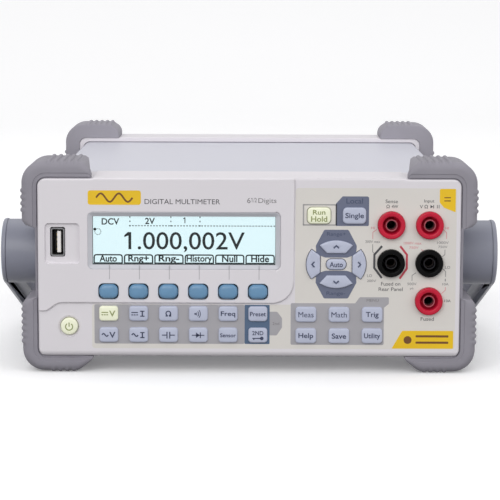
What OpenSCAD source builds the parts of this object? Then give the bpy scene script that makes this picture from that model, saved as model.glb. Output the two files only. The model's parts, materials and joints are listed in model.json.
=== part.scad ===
// Half-rack bench multimeter: +X right, +Y to the rear, +Z up.
// The origin is on the bench, under the middle of the instrument's box.

/* [Overall] */
// Width over the rubber bumpers
overall_w = 228.6; // [226:0.2:236]
// Height from bench to top of bumpers
overall_h = 107; // [104:0.5:110]
// Depth from input collars to rear bumpers
overall_d = 290.5; // [280:0.5:320]

/* [Case] */
// Width of the front and rear bezels
bezel_w = 210.4; // [208:0.2:212]
// Height of the bezels where the bumpers grip them
bezel_h = 89.5; // [86:0.1:90]
// Depth of the front bezel
bezel_d = 37; // [34:0.5:40]
// Depth of the rear bezel
rear_bezel_d = 27; // [24:0.5:30]
// Corner radius of the bezels
bezel_r = 4; // [2:0.5:6]
// Thickness of the moulded walls
wall = 2.5; // [2:0.1:3]
// Thickness of the sheet metal
sheet = 1.2; // [0.8:0.1:1.5]

/* [Front panel] */
// How far the display housing stands proud of the key area
raise = 1.2; // [0.6:0.1:1.6]
// Pitch of the softkeys and function keys
key_pitch = 14.9; // [14:0.1:15.5]
// How far a key cap stands proud of its surface
key_proud = 1.5; // [1:0.1:1.5]
// Travel of every key
key_travel = 1; // [0.5:0.1:1.1]
// Gap between a key and its hole
key_gap = 0.3; // [0.2:0.05:0.5]

/* [Input jacks] */
// Centre distance of the banana jacks
jack_pitch = 19.05; // [19:0.05:19.1]
// Outer diameter of a jack's collar
jack_collar_d = 13.8; // [13:0.1:14.5]
// Bore of a jack's contact, for a 4 mm plug
jack_bore_d = 4.1; // [4.05:0.05:4.2]
// How far the collars stand proud of the key area
jack_proud = 2.75; // [2:0.05:3.5]

/* [Handle] */
// Hub axis to the middle of the grip bar
handle_reach = 128; // [120:1:132]
// Outer radius of the hub drums
hub_r = 17; // [15:0.5:18]
// Half the width over the two hubs
handle_x = 127.5; // [125:0.5:130]
// Thickness of the arm's outer skin
arm_skin = 2.4; // [2:0.1:3]

/* [Bumpers] */
// Height of the bumper's grip ribs
rib_h = 0.7; // [0.4:0.1:1]
// Pitch of the ribs
rib_pitch = 3.4; // [3:0.1:4]

/* [Hidden] */
$fn = 48;
eps = 0.01;

// Planes along Y, from front to rear
front_y = -overall_d / 2;
panel_y = front_y + jack_proud;
housing_y = panel_y - raise;
wall_back_y = panel_y + 3;
bezel_back_y = panel_y + bezel_d;
rear_y = overall_d / 2;
rear_bezel_back_y = rear_y - 4.75;
rear_bezel_y = rear_bezel_back_y - rear_bezel_d;
rear_panel_y = rear_bezel_back_y - 10.5;
rear_panel_t = 1.5;
panel_out_y = rear_panel_y + rear_panel_t;

// Heights
mid_z = overall_h / 2 - 0.35;
bezel_lo = mid_z - bezel_h / 2;
bezel_hi = mid_z + bezel_h / 2;
land_h = 0.4;
land_gap = 0.9;
land_low_x = 77.1;
cover_gap = 0.2;
cover_x = bezel_w / 2 - wall - cover_gap;
cover_lo = bezel_lo + wall + cover_gap + 0.8;
cover_hi = bezel_hi - wall - cover_gap;
cover_front_y = bezel_back_y - 12.5;
cover_back_y = rear_bezel_y + 12.5;
tray_z = cover_lo + sheet + 0.8;
tray_top_z = tray_z + sheet;
main_pcb_z = 22;
pcb_top_z = main_pcb_z + 1.6;

// Display housing and window
housing_right = 22.3;
housing_low = 35.6;
housing_sweep_x = -93.2;
sweep_w = 9.5;
sweep_drop = 3.9;
lcd_x = -32.5;
lcd_z = 67;
lcd_w = 91;
lcd_h = 24;
window_margin = 2.4;
window_t = 1.5;
window_recess = 1.6;

// Keys, behind the panel
flange = 0.8;
flange_t = 0.8;
stem_t = 1.2;
mat_y = wall_back_y + flange_t + stem_t + key_travel + 0.2;
mat_t = 1.5;
pcb_y = mat_y + mat_t;
pcb_t = 1.6;

// Columns and rows of the keys
col_x = -70.1;
soft_z = 41.6;
row_z = [30.4, 19.6];
menu_x = 28.4;
menu_pitch = 16.55;
menu_z = [30.2, 19.4];
nav_x = 43.3;
nav_z = 55.5;
power_x = -89.9;
power_z = 23.8;
power_r = 4.3;
usb_x = -95.4;
usb_z = 66.2;

// Jack centres: sense high, input high, sense low, input low, current
jack_x = [70.6, 70.6 + jack_pitch];
jack_z = [75.2, 75.2 - jack_pitch, 75.2 - 2 * jack_pitch];
RED_JACKS = [[jack_x[0], jack_z[0]], [jack_x[1], jack_z[0]], [jack_x[1], jack_z[2]]];
BLACK_JACKS = [[jack_x[0], jack_z[1]], [jack_x[1], jack_z[1]]];
JACKS = concat(RED_JACKS, BLACK_JACKS);
collar_bore_r = 4.4;
sleeve_r = 3;
contact_r = 2.45;
contact_y = panel_y + 4.5;
contact_len = 16;

// Handle
hub_y = panel_y + 47;
hub_z = 55.5;
arm_end_r = 6.5;
arm_end_z = arm_end_r + 0.7;
arm_drop = asin((hub_z - arm_end_z) / handle_reach);
arm_end_y = hub_y + handle_reach * cos(arm_drop);
bar_r = 5;
bar_w = 24;
bar_z = bar_r + 1.2;
drum_r = hub_r - 0.4;
drum_x = 106.7;
pivot_face_x = 106.3;
pivot_tip_x = 121;
axle_r = 6;
axle_gap = 0.06;
arm_inner_x = 118.6;

// Bumpers
bumper_r = 11;
bumper_front_y = panel_y + 0.6;
front_arm_x = 78.8;
rear_arm_x = 80.6;
bumper_low_x = 78;
web_t = 1.5;

// Rear panel, seen from behind with +X on the left
inlet_x = -76;
inlet_z = 31;
rocker_x = -76;
rocker_z = 61;
rocker_r = 5.9;
fuse_x = 84;
fuse_z = 37;
fuse_r = 6;
BNC_XZ = [[84, 76], [62, 76]];
gpib_x = 4;
gpib_z = 74;
serial_x = 36;
serial_z = 33;
lan_x = 4;
lan_z = pcb_top_z + 6.7;
usb_b_x = -22;
usb_b_z = pcb_top_z + 5.4;

// Each key: name, kind, x, z, width, height, corner radius, surface it stands in
KEYS = concat(
    [["power_button", "round", power_x, power_z, 2 * power_r, 2 * power_r, 0, 0]],
    [for (i = [0:5]) [str("softkey_", i + 1), "pad", col_x + i * key_pitch, soft_z, 9.5, 7.4, 2.2, raise]],
    [for (i = [0:5]) [["dc_volts_key", "dc_current_key", "ohms_key", "continuity_key", "frequency_key",
        "preset_key"][i], "pad", col_x + i * key_pitch, row_z[0], 9.5, 7.6, 1.6, 0]],
    [for (i = [0:5]) [["ac_volts_key", "ac_current_key", "capacitance_key", "diode_key", "sensor_key",
        "second_key"][i], "pad", col_x + i * key_pitch, row_z[1], 9.5, 7.6, 1.6, 0]],
    [for (i = [0:2]) [["measure_key", "math_key", "trigger_key"][i], "pad", menu_x + i * menu_pitch,
        menu_z[0], 10.4, 7.7, 1.8, 0]],
    [for (i = [0:2]) [["help_key", "save_key", "utility_key"][i], "pad", menu_x + i * menu_pitch,
        menu_z[1], 10.4, 7.7, 1.8, 0]],
    [["run_hold_key", "pad", 34.6, 79.9, 11.6, 8.2, 2.2, 0],
     ["single_key", "pad", 52.2, 79.9, 11.6, 8.2, 2.2, 0],
     ["up_key", "fan", nav_x, nav_z + 5.6, 16.8, 6.4, 0, 0],
     ["left_key", "fan", nav_x - 8, nav_z, 15.1, 6.9, 90, 0],
     ["down_key", "fan", nav_x, nav_z - 5.6, 16.8, 6.4, 180, 0],
     ["right_key", "fan", nav_x + 8, nav_z, 15.1, 6.9, 270, 0],
     ["auto_key", "pad", nav_x, nav_z, 9.9, 5.4, 2.6, 0]]);

// ---------- Helpers ----------

// Extrudes a profile drawn in X and Z from y0 back to y1
module slab(y0, y1) {
    translate([0, y1, 0]) rotate([90, 0, 0]) linear_extrude(y1 - y0) children();
}

// Extrudes a profile drawn in Y and Z from x0 across to x1
module across(x0, x1) {
    translate([x0, 0, 0]) rotate([90, 0, 90]) linear_extrude(x1 - x0) children();
}

// Rounded rectangle between two corners
module rounded(x0, z0, x1, z1, r) {
    translate([x0 + r, z0]) square([x1 - x0 - 2 * r, z1 - z0]);
    translate([x0, z0 + r]) square([x1 - x0, z1 - z0 - 2 * r]);
    for (x = [x0 + r, x1 - r], z = [z0 + r, z1 - r]) translate([x, z]) circle(r);
}

// Rounded rectangle about a centre
module pad(x, z, w, h, r) {
    rounded(x - w / 2, z - h / 2, x + w / 2, z + h / 2, r);
}

// Cylinder along Y from y0 to y1
module rod_y(x, z, r, y0, y1) {
    translate([x, y1, z]) rotate([90, 0, 0]) cylinder(r = r, h = y1 - y0);
}

// Cylinder along X from x0 to x1
module rod_x(y, z, r, x0, x1) {
    translate([x0, y, z]) rotate([0, 90, 0]) cylinder(r = r, h = x1 - x0);
}

// Both sides of the instrument
module both_sides() {
    children();
    mirror([1, 0, 0]) children();
}

// Arrow key: a trapezium that widens outwards to a bulging edge
module fan(w, h, grow = 0) {
    tip = h * 0.6;
    bulge = h - tip;
    r = (w * w / 4 + bulge * bulge) / (2 * bulge);
    intersection() {
        translate([0, h - r]) circle(r + grow);
        polygon([[-w / 2 - grow + 0.2, tip], [-w / 2 - grow + 0.2, h + 2], [w / 2 + grow - 0.2, h + 2],
                 [w / 2 + grow - 0.2, tip], [w * 0.28 + grow, -grow], [-w * 0.28 - grow, -grow]]);
    }
}

// Outline of a key's cap, grown for its flange or its hole
module key_outline(k, grow = 0) {
    if (k[1] == "round") translate([k[2], k[3]]) circle(k[4] / 2 + grow);
    if (k[1] == "pad") pad(k[2], k[3], k[4] + 2 * grow, k[5] + 2 * grow, k[6] + grow);
    if (k[1] == "fan") translate([k[2], k[3]]) rotate(k[6]) fan(k[4], k[5], grow);
}

// Outline of the bezels, with the lands that fill between the bumpers
module bezel_outline(inset = 0, arm_x = front_arm_x) {
    rounded(-bezel_w / 2 + inset, bezel_lo + inset, bezel_w / 2 - inset, bezel_hi - inset, bezel_r);
    if (inset == 0) {
        land_x = arm_x - land_gap;
        translate([-land_x, mid_z]) square([2 * land_x, bezel_h / 2 + land_h]);
        translate([-land_low_x, bezel_lo - land_h]) square([2 * land_low_x, bezel_h / 2]);
    }
}

// ---------- Front ----------

// Outline of the display housing, whose lower edge sweeps down at the left in two equal arcs
module housing_outline() {
    turn = 2 * atan(sweep_drop / sweep_w);
    r = sweep_w / (2 * sin(turn));
    x1 = housing_sweep_x;
    intersection() {
        bezel_outline();
        union() {
            rounded(-bezel_w, housing_low, housing_right, 2 * bezel_hi, 11);
            polygon(concat([[-bezel_w, housing_low - sweep_drop]],
                [for (i = [0:4]) [x1 - sweep_w + r * sin(turn * i / 4),
                                  housing_low - sweep_drop + r * (1 - cos(turn * i / 4))]],
                [for (i = [3:-1:0]) [x1 - r * sin(turn * i / 4), housing_low - r * (1 - cos(turn * i / 4))]],
                [[x1, housing_low + 14], [-bezel_w, housing_low + 14]]));
        }
    }
}

// Area that the printed overlay covers: key field at the left, keys and jacks at the right
module overlay_outline() {
    rounded(-78.5, 12.6, 103, housing_low - 0.6, 1.5);
    rounded(housing_right + 0.6, 12.6, 103, 93.6, 1.5);
}

// Stub, flange, cap and stem share this outline along Y
module key_holes(y0, y1) {
    for (k = KEYS) slab(y0, y1) key_outline(k, key_gap);
}

module jack_holes(r, y0, y1) {
    for (j = JACKS) rod_y(j[0], j[1], r, y0, y1);
}

module front_bezel() {
    color("gainsboro") difference() {
        union() {
            slab(panel_y, wall_back_y) bezel_outline();
            difference() {
                slab(wall_back_y - eps, bezel_back_y) bezel_outline();
                slab(wall_back_y - 1, bezel_back_y + 1) bezel_outline(wall);
            }
            slab(housing_y, panel_y + eps) housing_outline();
        }
        // Display opening, with a wider seat for the window behind it
        slab(housing_y - 1, wall_back_y + 1)
            pad(lcd_x, lcd_z, lcd_w + 2 * window_margin, lcd_h + 2 * window_margin, 2.5);
        slab(housing_y + window_recess, wall_back_y + 1)
            pad(lcd_x, lcd_z, lcd_w + 9, lcd_h + 9, 2.5);
        // Memory port recess and its slot
        slab(housing_y - 1, housing_y + 1.4) pad(-93.1, 65.5, 17.2, 20.2, 2);
        slab(housing_y, wall_back_y + 1) pad(usb_x, usb_z, 7.4, 14.8, 1);
        slab(panel_y - eps, panel_y + 0.4) overlay_outline();
        key_holes(housing_y - 1, wall_back_y + 1);
        slab(panel_y - 1, wall_back_y + 1) jack_panel_outline(0.1);
        // Power button's dished surround
        rod_y(power_x, power_z, 5.4, panel_y - 1, panel_y + 0.6);
        // Notches that clear the handle's pivots and drums
        rod_x(hub_y, hub_z, hub_r + 0.6, -bezel_w, -cover_x + 0.05);
        rod_x(hub_y, hub_z, hub_r + 0.6, cover_x - 0.05, bezel_w);
    }
}

module panel_overlay() {
    color("antiquewhite") difference() {
        slab(panel_y, panel_y + 0.4) overlay_outline();
        key_holes(panel_y - 1, panel_y + 1);
        jack_holes(jack_collar_d / 2 + 0.1, panel_y - 1, panel_y + 1);
    }
}

module display_window() {
    y0 = housing_y + window_recess;
    color("lightcyan", 0.4) slab(y0, y0 + window_t)
        pad(lcd_x, lcd_z, lcd_w + 8.6, lcd_h + 8.6, 2.4);
}

module lcd_module() {
    y0 = housing_y + window_recess + window_t;
    color("darkslategray") difference() {
        slab(y0, pcb_y) pad(lcd_x, lcd_z, lcd_w + 8.6, lcd_h + 8.6, 2.4);
        slab(y0 - 1, y0 + 0.8) pad(lcd_x, lcd_z, lcd_w, lcd_h, 0.5);
    }
    color("honeydew") slab(y0 + 0.3, y0 + 0.8) pad(lcd_x, lcd_z, lcd_w - 0.1, lcd_h - 0.1, 0.4);
}

module key_cap(k) {
    face_y = panel_y - k[7] - key_proud;
    color(k[7] > 0 ? "steelblue" : "lightsteelblue") {
        slab(face_y, wall_back_y + flange_t) key_outline(k);
        slab(wall_back_y, wall_back_y + flange_t) key_outline(k, flange);
        slab(wall_back_y + flange_t - eps, wall_back_y + flange_t + stem_t)
            translate(k[1] == "fan" ? [k[2], k[3]] : [0, 0])
                rotate(k[1] == "fan" ? k[6] : 0)
                    pad(k[1] == "fan" ? 0 : k[2], k[1] == "fan" ? k[5] / 2 : k[3], 4, 3, 0.8);
    }
}

module keypad_mat() {
    color("dimgray") slab(mat_y, mat_y + mat_t) {
        rounded(-78, 13, 11, 47, 2);
        rounded(23, 13, 68.4, 37, 2);
        rounded(26, 36, 61, 86, 2);
        rounded(-96, 17, -83, 31, 2);
    }
    // Carbon pills under each key press through to the board
    color("black") for (k = KEYS) if (k[1] != "fan")
        slab(mat_y - 0.15, mat_y + eps) pad(k[2], k[3], 3, 2.4, 0.6);
}

module keyboard_pcb() {
    color("darkgreen") slab(pcb_y, pcb_y + pcb_t) {
        rounded(-86, 12.6, 61.5, 94, 1);
        rounded(-98, 12.6, 68.6, 38, 1);
    }
}

// ---------- Jacks and memory port ----------

// The plate that carries the jacks: wide at the top, narrower beside the menu keys
module jack_panel_outline(grow = 0) {
    rounded(61.4 - grow, 47.4 - grow, 100.2 + grow, 84 + grow, 1.5);
    rounded(80.2 - grow, 28.4 - grow, 100.2 + grow, 60 + grow, 1.5);
}

module jack_panel() {
    lip = 1;
    color("gainsboro") difference() {
        union() {
            slab(panel_y + 0.4, wall_back_y + lip) jack_panel_outline();
            slab(wall_back_y, wall_back_y + lip) jack_panel_outline(lip);
        }
        jack_holes(jack_collar_d / 2 + 0.1, panel_y - 1, wall_back_y + 2);
        // Seats of the collars' flanges
        jack_holes(jack_collar_d / 2 + 0.8, wall_back_y, wall_back_y + 2);
    }
}

module jack_collar(j) {
    difference() {
        union() {
            rod_y(j[0], j[1], jack_collar_d / 2, front_y, wall_back_y);
            rod_y(j[0], j[1], jack_collar_d / 2 + 0.7, wall_back_y, wall_back_y + 1.6);
            rod_y(j[0], j[1], jack_collar_d / 2 - 0.6, wall_back_y + 1.5, panel_y + 24);
        }
        rod_y(j[0], j[1], collar_bore_r, front_y - 1, panel_y + 20);
        rod_y(j[0], j[1], contact_r, panel_y + 19, panel_y + 25);
    }
    // Insulating sleeve around the contact
    difference() {
        rod_y(j[0], j[1], sleeve_r, front_y + 1.2, panel_y + 20);
        rod_y(j[0], j[1], contact_r, front_y, panel_y + 21);
    }
}

module red_jack_collars() {
    color("crimson") for (j = RED_JACKS) jack_collar(j);
}

module black_jack_collars() {
    color("black") for (j = BLACK_JACKS) jack_collar(j);
}

module jack_contacts() {
    color("silver") for (j = JACKS) difference() {
        rod_y(j[0], j[1], contact_r, contact_y, panel_y + 30);
        rod_y(j[0], j[1], jack_bore_d / 2, contact_y - 1, contact_y + contact_len);
    }
}

module usb_host_port() {
    y0 = housing_y + 1.2;
    color("silver") difference() {
        slab(y0, y0 + 14) pad(usb_x, usb_z, 7.0, 14.4, 0.8);
        slab(y0 - 1, y0 + 12) pad(usb_x, usb_z, 5.4, 12.6, 0.3);
    }
    color("white") slab(y0 + 0.6, y0 + 12.2) pad(usb_x + 0.6, usb_z, 1.9, 10.6, 0.3);
}

// ---------- Case ----------

module case_cover() {
    slots = 12;
    slot_pitch = 7.5;
    color("lightgray") difference() {
        slab(cover_front_y, cover_back_y) rounded(-cover_x, cover_lo, cover_x, cover_hi, 4);
        slab(cover_front_y - 1, cover_back_y + 1)
            rounded(-cover_x + sheet, cover_lo + sheet, cover_x - sheet, cover_hi - sheet, 2.8);
        // Ventilation slots low and high in both sides
        across(-120, 120) for (i = [0:slots - 1], z = [31, 74])
            pad(10 + i * slot_pitch, z, 2.4, 15, 1.15);
        // Seats of the handle's pivots
        rod_x(hub_y, hub_z, 5.1, -120, 120);
    }
}

module chassis_tray() {
    x1 = cover_x - sheet - 1;
    color("silver") {
        translate([-x1, -100, tray_z]) cube([2 * x1, rear_panel_y + 100, sheet]);
        for (x = [-x1, x1 - sheet]) translate([x, -100, tray_z]) cube([sheet, rear_panel_y + 100, 14]);
        // Standoffs under the main board
        for (p = [[-88, -88], [-88, 20], [88, -88], [88, 20], [62, 112]])
            translate([p[0], p[1], tray_top_z - eps]) cylinder(r = 3.2, h = main_pcb_z - tray_top_z + eps);
    }
}

module rear_bezel() {
    color("gainsboro") difference() {
        slab(rear_bezel_y, rear_bezel_back_y) bezel_outline(arm_x = rear_arm_x);
        slab(rear_bezel_y - 1, rear_panel_y) bezel_outline(wall);
        slab(rear_panel_y - 1, rear_bezel_back_y + 1)
            rounded(-bezel_w / 2 + 6, bezel_lo + 5, bezel_w / 2 - 6, bezel_hi - 5, 2);
        // Screw holes in the four corners of the rim
        for (x = [-101.6, 101.6], z = [bezel_lo + 3.6, bezel_hi - 3.6])
            rod_y(x, z, 1.6, rear_panel_y - 1, rear_bezel_back_y + 1);
    }
}

module rear_cutouts() {
    slab(rear_panel_y - 5, rear_panel_y + 5) {
        pad(inlet_x, inlet_z, 27.4, 20.4, 1);
        pad(rocker_x, rocker_z, 19.4, 13.4, 0.5);
        pad(gpib_x, gpib_z, 56, 13, 1);
        pad(serial_x, serial_z, 19, 10.4, 1);
        pad(lan_x, lan_z, 16.4, 13.8, 0.5);
        pad(usb_b_x, usb_b_z, 12.4, 11.2, 0.5);
        translate([fuse_x, fuse_z]) circle(fuse_r + 2);
        for (b = BNC_XZ) translate(b) circle(5.2);
        // Exhaust slots
        for (i = [0:7]) pad(-47, 28 + i * 6.5, 18, 2.6, 1.2);
    }
}

module rear_panel() {
    color("darkgray") difference() {
        slab(rear_panel_y, rear_panel_y + rear_panel_t)
            rounded(-bezel_w / 2 + 6.3, bezel_lo + 5.3, bezel_w / 2 - 6.3, bezel_hi - 5.3, 1.8);
        rear_cutouts();
    }
}

// ---------- Bumpers ----------

// One rib, standing on a surface whose normal is +Y of its profile
module rib() {
    polygon([[1.1, -0.3], [0.95, 0], [0.45, rib_h], [-0.45, rib_h], [-0.95, 0], [-1.1, -0.3]]);
}

// Right-hand C-shaped bumper outline, from the arm ends round the outer side
module bumper_outline(top_x) {
    x1 = overall_w / 2 - rib_h;
    z1 = overall_h - rib_h;
    difference() {
        rounded(-x1, rib_h, x1, z1, bumper_r);
        rounded(-bezel_w / 2, bezel_lo, bezel_w / 2, bezel_hi, bezel_r);
        translate([-x1 - 1, -1]) square([x1 + 1 + bumper_low_x, overall_h + 2]);
        // Slanted arm ends, steeper at the bottom
        polygon([[bumper_low_x - 1, bezel_hi - 1], [top_x, bezel_hi - 1], [top_x, bezel_hi + 3.4],
                 [top_x + 1.8, bezel_hi + 6], [top_x + 5.2, z1], [top_x + 5.2, z1 + 1],
                 [bumper_low_x - 1, z1 + 1]]);
        polygon([[bumper_low_x - 1, bezel_lo + 1], [bumper_low_x - 1, rib_h - 1],
                 [bumper_low_x + 8, rib_h - 1], [bumper_low_x + 8, rib_h],
                 [bumper_low_x + 6, rib_h + 1.2], [bumper_low_x, bezel_lo - 1.4],
                 [bumper_low_x, bezel_lo + 1]]);
    }
    // Ribs across the top and bottom arms
    for (i = [0:4]) translate([86 + i * rib_pitch, z1]) rib();
    for (i = [0:4]) translate([88 + i * rib_pitch, rib_h]) rotate(180) rib();
}

module side_ribs(z_list) {
    for (z = z_list) translate([overall_w / 2 - rib_h, z]) rotate(-90) rib();
}

module front_bumper() {
    color("slategray") difference() {
        slab(bumper_front_y, bezel_back_y) {
            bumper_outline(front_arm_x);
            side_ribs([for (i = [0:6]) 15.5 + i * rib_pitch / 1.05]);
            side_ribs([for (i = [0:5]) 78.5 + i * rib_pitch / 1.05]);
        }
        // Gap for the handle's drum, with slanted leg ends and a thin web left on the bezel
        slab(bumper_front_y - 1, bezel_back_y + 1)
            polygon([[bezel_w / 2 + web_t, 38.2], [111.5, 37], [114, 34.6], [116.5, 31], [120, 31],
                     [120, 80], [116.5, 80], [114, 76.6], [111.5, 74.2], [bezel_w / 2 + web_t, 73]]);
        rod_x(hub_y, hub_z, hub_r + 0.9, bezel_w / 2 - 1, 120);
        // The top arm grows shorter towards the back
        translate([0, 0, bezel_hi - 1]) linear_extrude(12)
            polygon([[bumper_low_x - 1, bumper_front_y - 1], [front_arm_x, bumper_front_y],
                     [front_arm_x + 3.6, bezel_back_y + 1], [bumper_low_x - 1, bezel_back_y + 1]]);
    }
}

module front_bumper_right() { front_bumper(); }

module front_bumper_left() { mirror([1, 0, 0]) front_bumper(); }

module rear_bumper() {
    color("slategray") slab(rear_bezel_y - 0.6, rear_y) {
        bumper_outline(rear_arm_x);
        side_ribs([for (i = [0:22]) 17.9 + i * rib_pitch / 1.05]);
    }
}

module rear_bumper_right() { rear_bumper(); }

module rear_bumper_left() { mirror([1, 0, 0]) rear_bumper(); }

// ---------- Inside ----------

module main_pcb() {
    color("darkgreen") difference() {
        translate([-96, -98, main_pcb_z]) cube([192, 224, 1.6]);
        // The transformer and the inlet take this corner
        translate([-97, 40, main_pcb_z - 1]) cube([61, 90, 4]);
    }
    // Capacitors, relays and the screened converter
    color("black") {
        for (p = [[-24, 66], [-8, 66], [-24, 86]])
            translate([p[0], p[1], pcb_top_z - eps]) cylinder(r = 6, h = 24);
        for (i = [0:3]) translate([52, -80 + i * 18, pcb_top_z - eps]) cube([20, 12, 11]);
    }
    color("silver") translate([-50, -60, pcb_top_z - eps]) cube([70, 60, 14]);
}

module power_transformer() {
    color("dimgray") translate([-90, 54, tray_top_z]) cube([50, 40, 46]);
    color("goldenrod") translate([-82, 46, tray_top_z + 6]) cube([34, 56, 34]);
}

module case_screws() {
    color("silver") for (x = [-101.6, 101.6], z = [bezel_lo + 3.6, bezel_hi - 3.6]) difference() {
        union() {
            rod_y(x, z, 1.5, rear_panel_y + 1, rear_bezel_back_y + eps);
            rod_y(x, z, 2.8, rear_bezel_back_y, rear_bezel_back_y + 1.8);
        }
        for (a = [0, 90]) translate([x, rear_bezel_back_y + 1.9, z]) rotate([0, a, 0])
            cube([3.6, 2.2, 0.8], center = true);
    }
}

// ---------- Rear fittings ----------

module power_inlet() {
    y0 = rear_panel_y - 18;
    y1 = panel_out_y;
    color("black") {
        difference() {
            union() {
                slab(y0, y1 + 2) pad(inlet_x, inlet_z, 27, 20, 1);
                slab(y1, y1 + 2) pad(inlet_x, inlet_z, 31, 24, 3);
            }
            slab(y0 + 3, y1 + 3) pad(inlet_x, inlet_z, 24, 16.4, 3);
        }
        // Switch frame
        difference() {
            union() {
                slab(y1 - 13, y1 + 1.5) pad(rocker_x, rocker_z, 19, 13, 0.4);
                slab(y1, y1 + 1.5) pad(rocker_x, rocker_z, 22, 16, 1.5);
            }
            slab(y1 - 11, y1 + 3) pad(rocker_x, rocker_z, 15.4, 11.4, 0.3);
            rod_x(y1, rocker_z, rocker_r + 0.25, rocker_x - 7.7, rocker_x + 7.7);
        }
    }
    color("silver") for (p = [[-7, -1.5], [7, -1.5], [0, 2.5]])
        translate([inlet_x + p[0] - 1, y0 + 3 - eps, inlet_z + p[1] - 2]) cube([2, 13, 4]);
}

// Rocker: part of a cylinder about its pin, with two flats that meet in the middle
module power_rocker() {
    color("black") across(rocker_x - 7.4, rocker_x + 7.4) translate([panel_out_y, rocker_z])
        intersection() {
            circle(rocker_r);
            polygon([[-2, -8], [1, -8], [2.2, -4.9], [1.4, 0], [3.8, 4.4], [2.8, 8], [-2, 8]]);
        }
}

module input_fuse_cap() {
    y1 = panel_out_y;
    color("black") difference() {
        union() {
            rod_y(fuse_x, fuse_z, fuse_r - 1, y1 - 14, y1 + 6);
            rod_y(fuse_x, fuse_z, fuse_r, y1 + 2.3, y1 + 7);
        }
        translate([fuse_x, y1 + 7, fuse_z]) cube([8, 3, 1.6], center = true);
    }
}

module rear_connectors() {
    y1 = panel_out_y;
    // Parallel bus connector: shroud with a contact tongue
    color("silver") difference() {
        slab(rear_panel_y - 10, y1 + 6) pad(gpib_x, gpib_z, 54, 12.4, 2);
        slab(rear_panel_y, y1 + 7) pad(gpib_x, gpib_z, 50, 9.6, 1.5);
    }
    color("midnightblue") slab(rear_panel_y - eps, y1 + 5) pad(gpib_x, gpib_z, 44, 3.4, 0.8);
    // Serial connector
    color("silver") difference() {
        slab(rear_panel_y - 8, y1 + 5.5) pad(serial_x, serial_z, 18, 9.6, 2.4);
        slab(rear_panel_y, y1 + 6.5) pad(serial_x, serial_z, 16.6, 8.2, 1.8);
    }
    color("gold") for (i = [0:4], r = [0, 1]) if (r == 0 || i < 4)
        rod_y(serial_x + (i - 2) * 2.77 + r * 1.38, serial_z + 1.42 - r * 2.84, 0.5,
              rear_panel_y - eps, y1 + 5);
    // Network socket
    color("silver") difference() {
        slab(rear_panel_y - 14, y1 + 1.2) pad(lan_x, lan_z, 16, 13.4, 0.4);
        slab(rear_panel_y - 11, y1 + 2) pad(lan_x, lan_z - 0.4, 12, 8.2, 0.3);
    }
    // Square device port
    color("silver") difference() {
        slab(rear_panel_y - 12, y1 + 1.2) pad(usb_b_x, usb_b_z, 12, 10.8, 0.4);
        slab(rear_panel_y - 8, y1 + 2) pad(usb_b_x, usb_b_z, 9, 8.4, 1);
    }
    color("black") slab(rear_panel_y - 8 - eps, rear_panel_y - 3.5) pad(usb_b_x, usb_b_z, 5.6, 3.2, 0.3);
    // Input fuse holder
    color("black") difference() {
        union() {
            rod_y(fuse_x, fuse_z, fuse_r + 1.8, y1 - 20, y1 + 0.1);
            rod_y(fuse_x, fuse_z, fuse_r + 3, y1, y1 + 2.1);
        }
        rod_y(fuse_x, fuse_z, fuse_r - 0.9, y1 - 15, y1 + 3);
    }
    // Trigger sockets, each with its centre contact
    color("silver") for (b = BNC_XZ) {
        difference() {
            union() {
                rod_y(b[0], b[1], 5, rear_panel_y - 8, y1);
                rod_y(b[0], b[1], 7, y1, y1 + 2);
                rod_y(b[0], b[1], 4.8, y1 + 1.9, y1 + 12);
                rod_x(y1 + 8.5, b[1], 1, b[0] - 5.6, b[0] + 5.6);
            }
            rod_y(b[0], b[1], 4, y1 + 2, y1 + 13);
        }
        difference() {
            rod_y(b[0], b[1], 2.4, y1 + 1.9, y1 + 11);
            rod_y(b[0], b[1], 0.7, y1 + 6, y1 + 12);
        }
    }
}

// ---------- Handle ----------

module handle_pivots() {
    color("dimgray") both_sides() {
        rod_x(hub_y, hub_z, 5, cover_x - sheet - 3, cover_x + eps);
        rod_x(hub_y, hub_z, 15.5, cover_x, pivot_face_x);
        rod_x(hub_y, hub_z, axle_r, pivot_face_x - eps, pivot_tip_x);
        // Detent pips
        for (a = [0:30:330])
            rod_x(hub_y + 11 * cos(a), hub_z + 11 * sin(a), 1, pivot_face_x - eps, pivot_face_x + 0.8);
    }
}

// Side view of an arm: two circles and the flanks that all but touch them, drawn in by inset
module arm_outline(inset = 0) {
    swing = asin((hub_r - arm_end_r) / handle_reach);
    up = 90 - arm_drop - swing;
    down = -90 - arm_drop + swing;
    hub = [hub_y, hub_z];
    tip = [arm_end_y, arm_end_z];
    translate(hub) circle(hub_r - inset);
    translate(tip) circle(arm_end_r - inset);
    polygon([for (e = [[hub, hub_r, up], [tip, arm_end_r, up], [tip, arm_end_r, down], [hub, hub_r, down]])
        e[0] + (e[1] - inset - 0.05) * [cos(e[2]), sin(e[2])]]);
}

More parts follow.
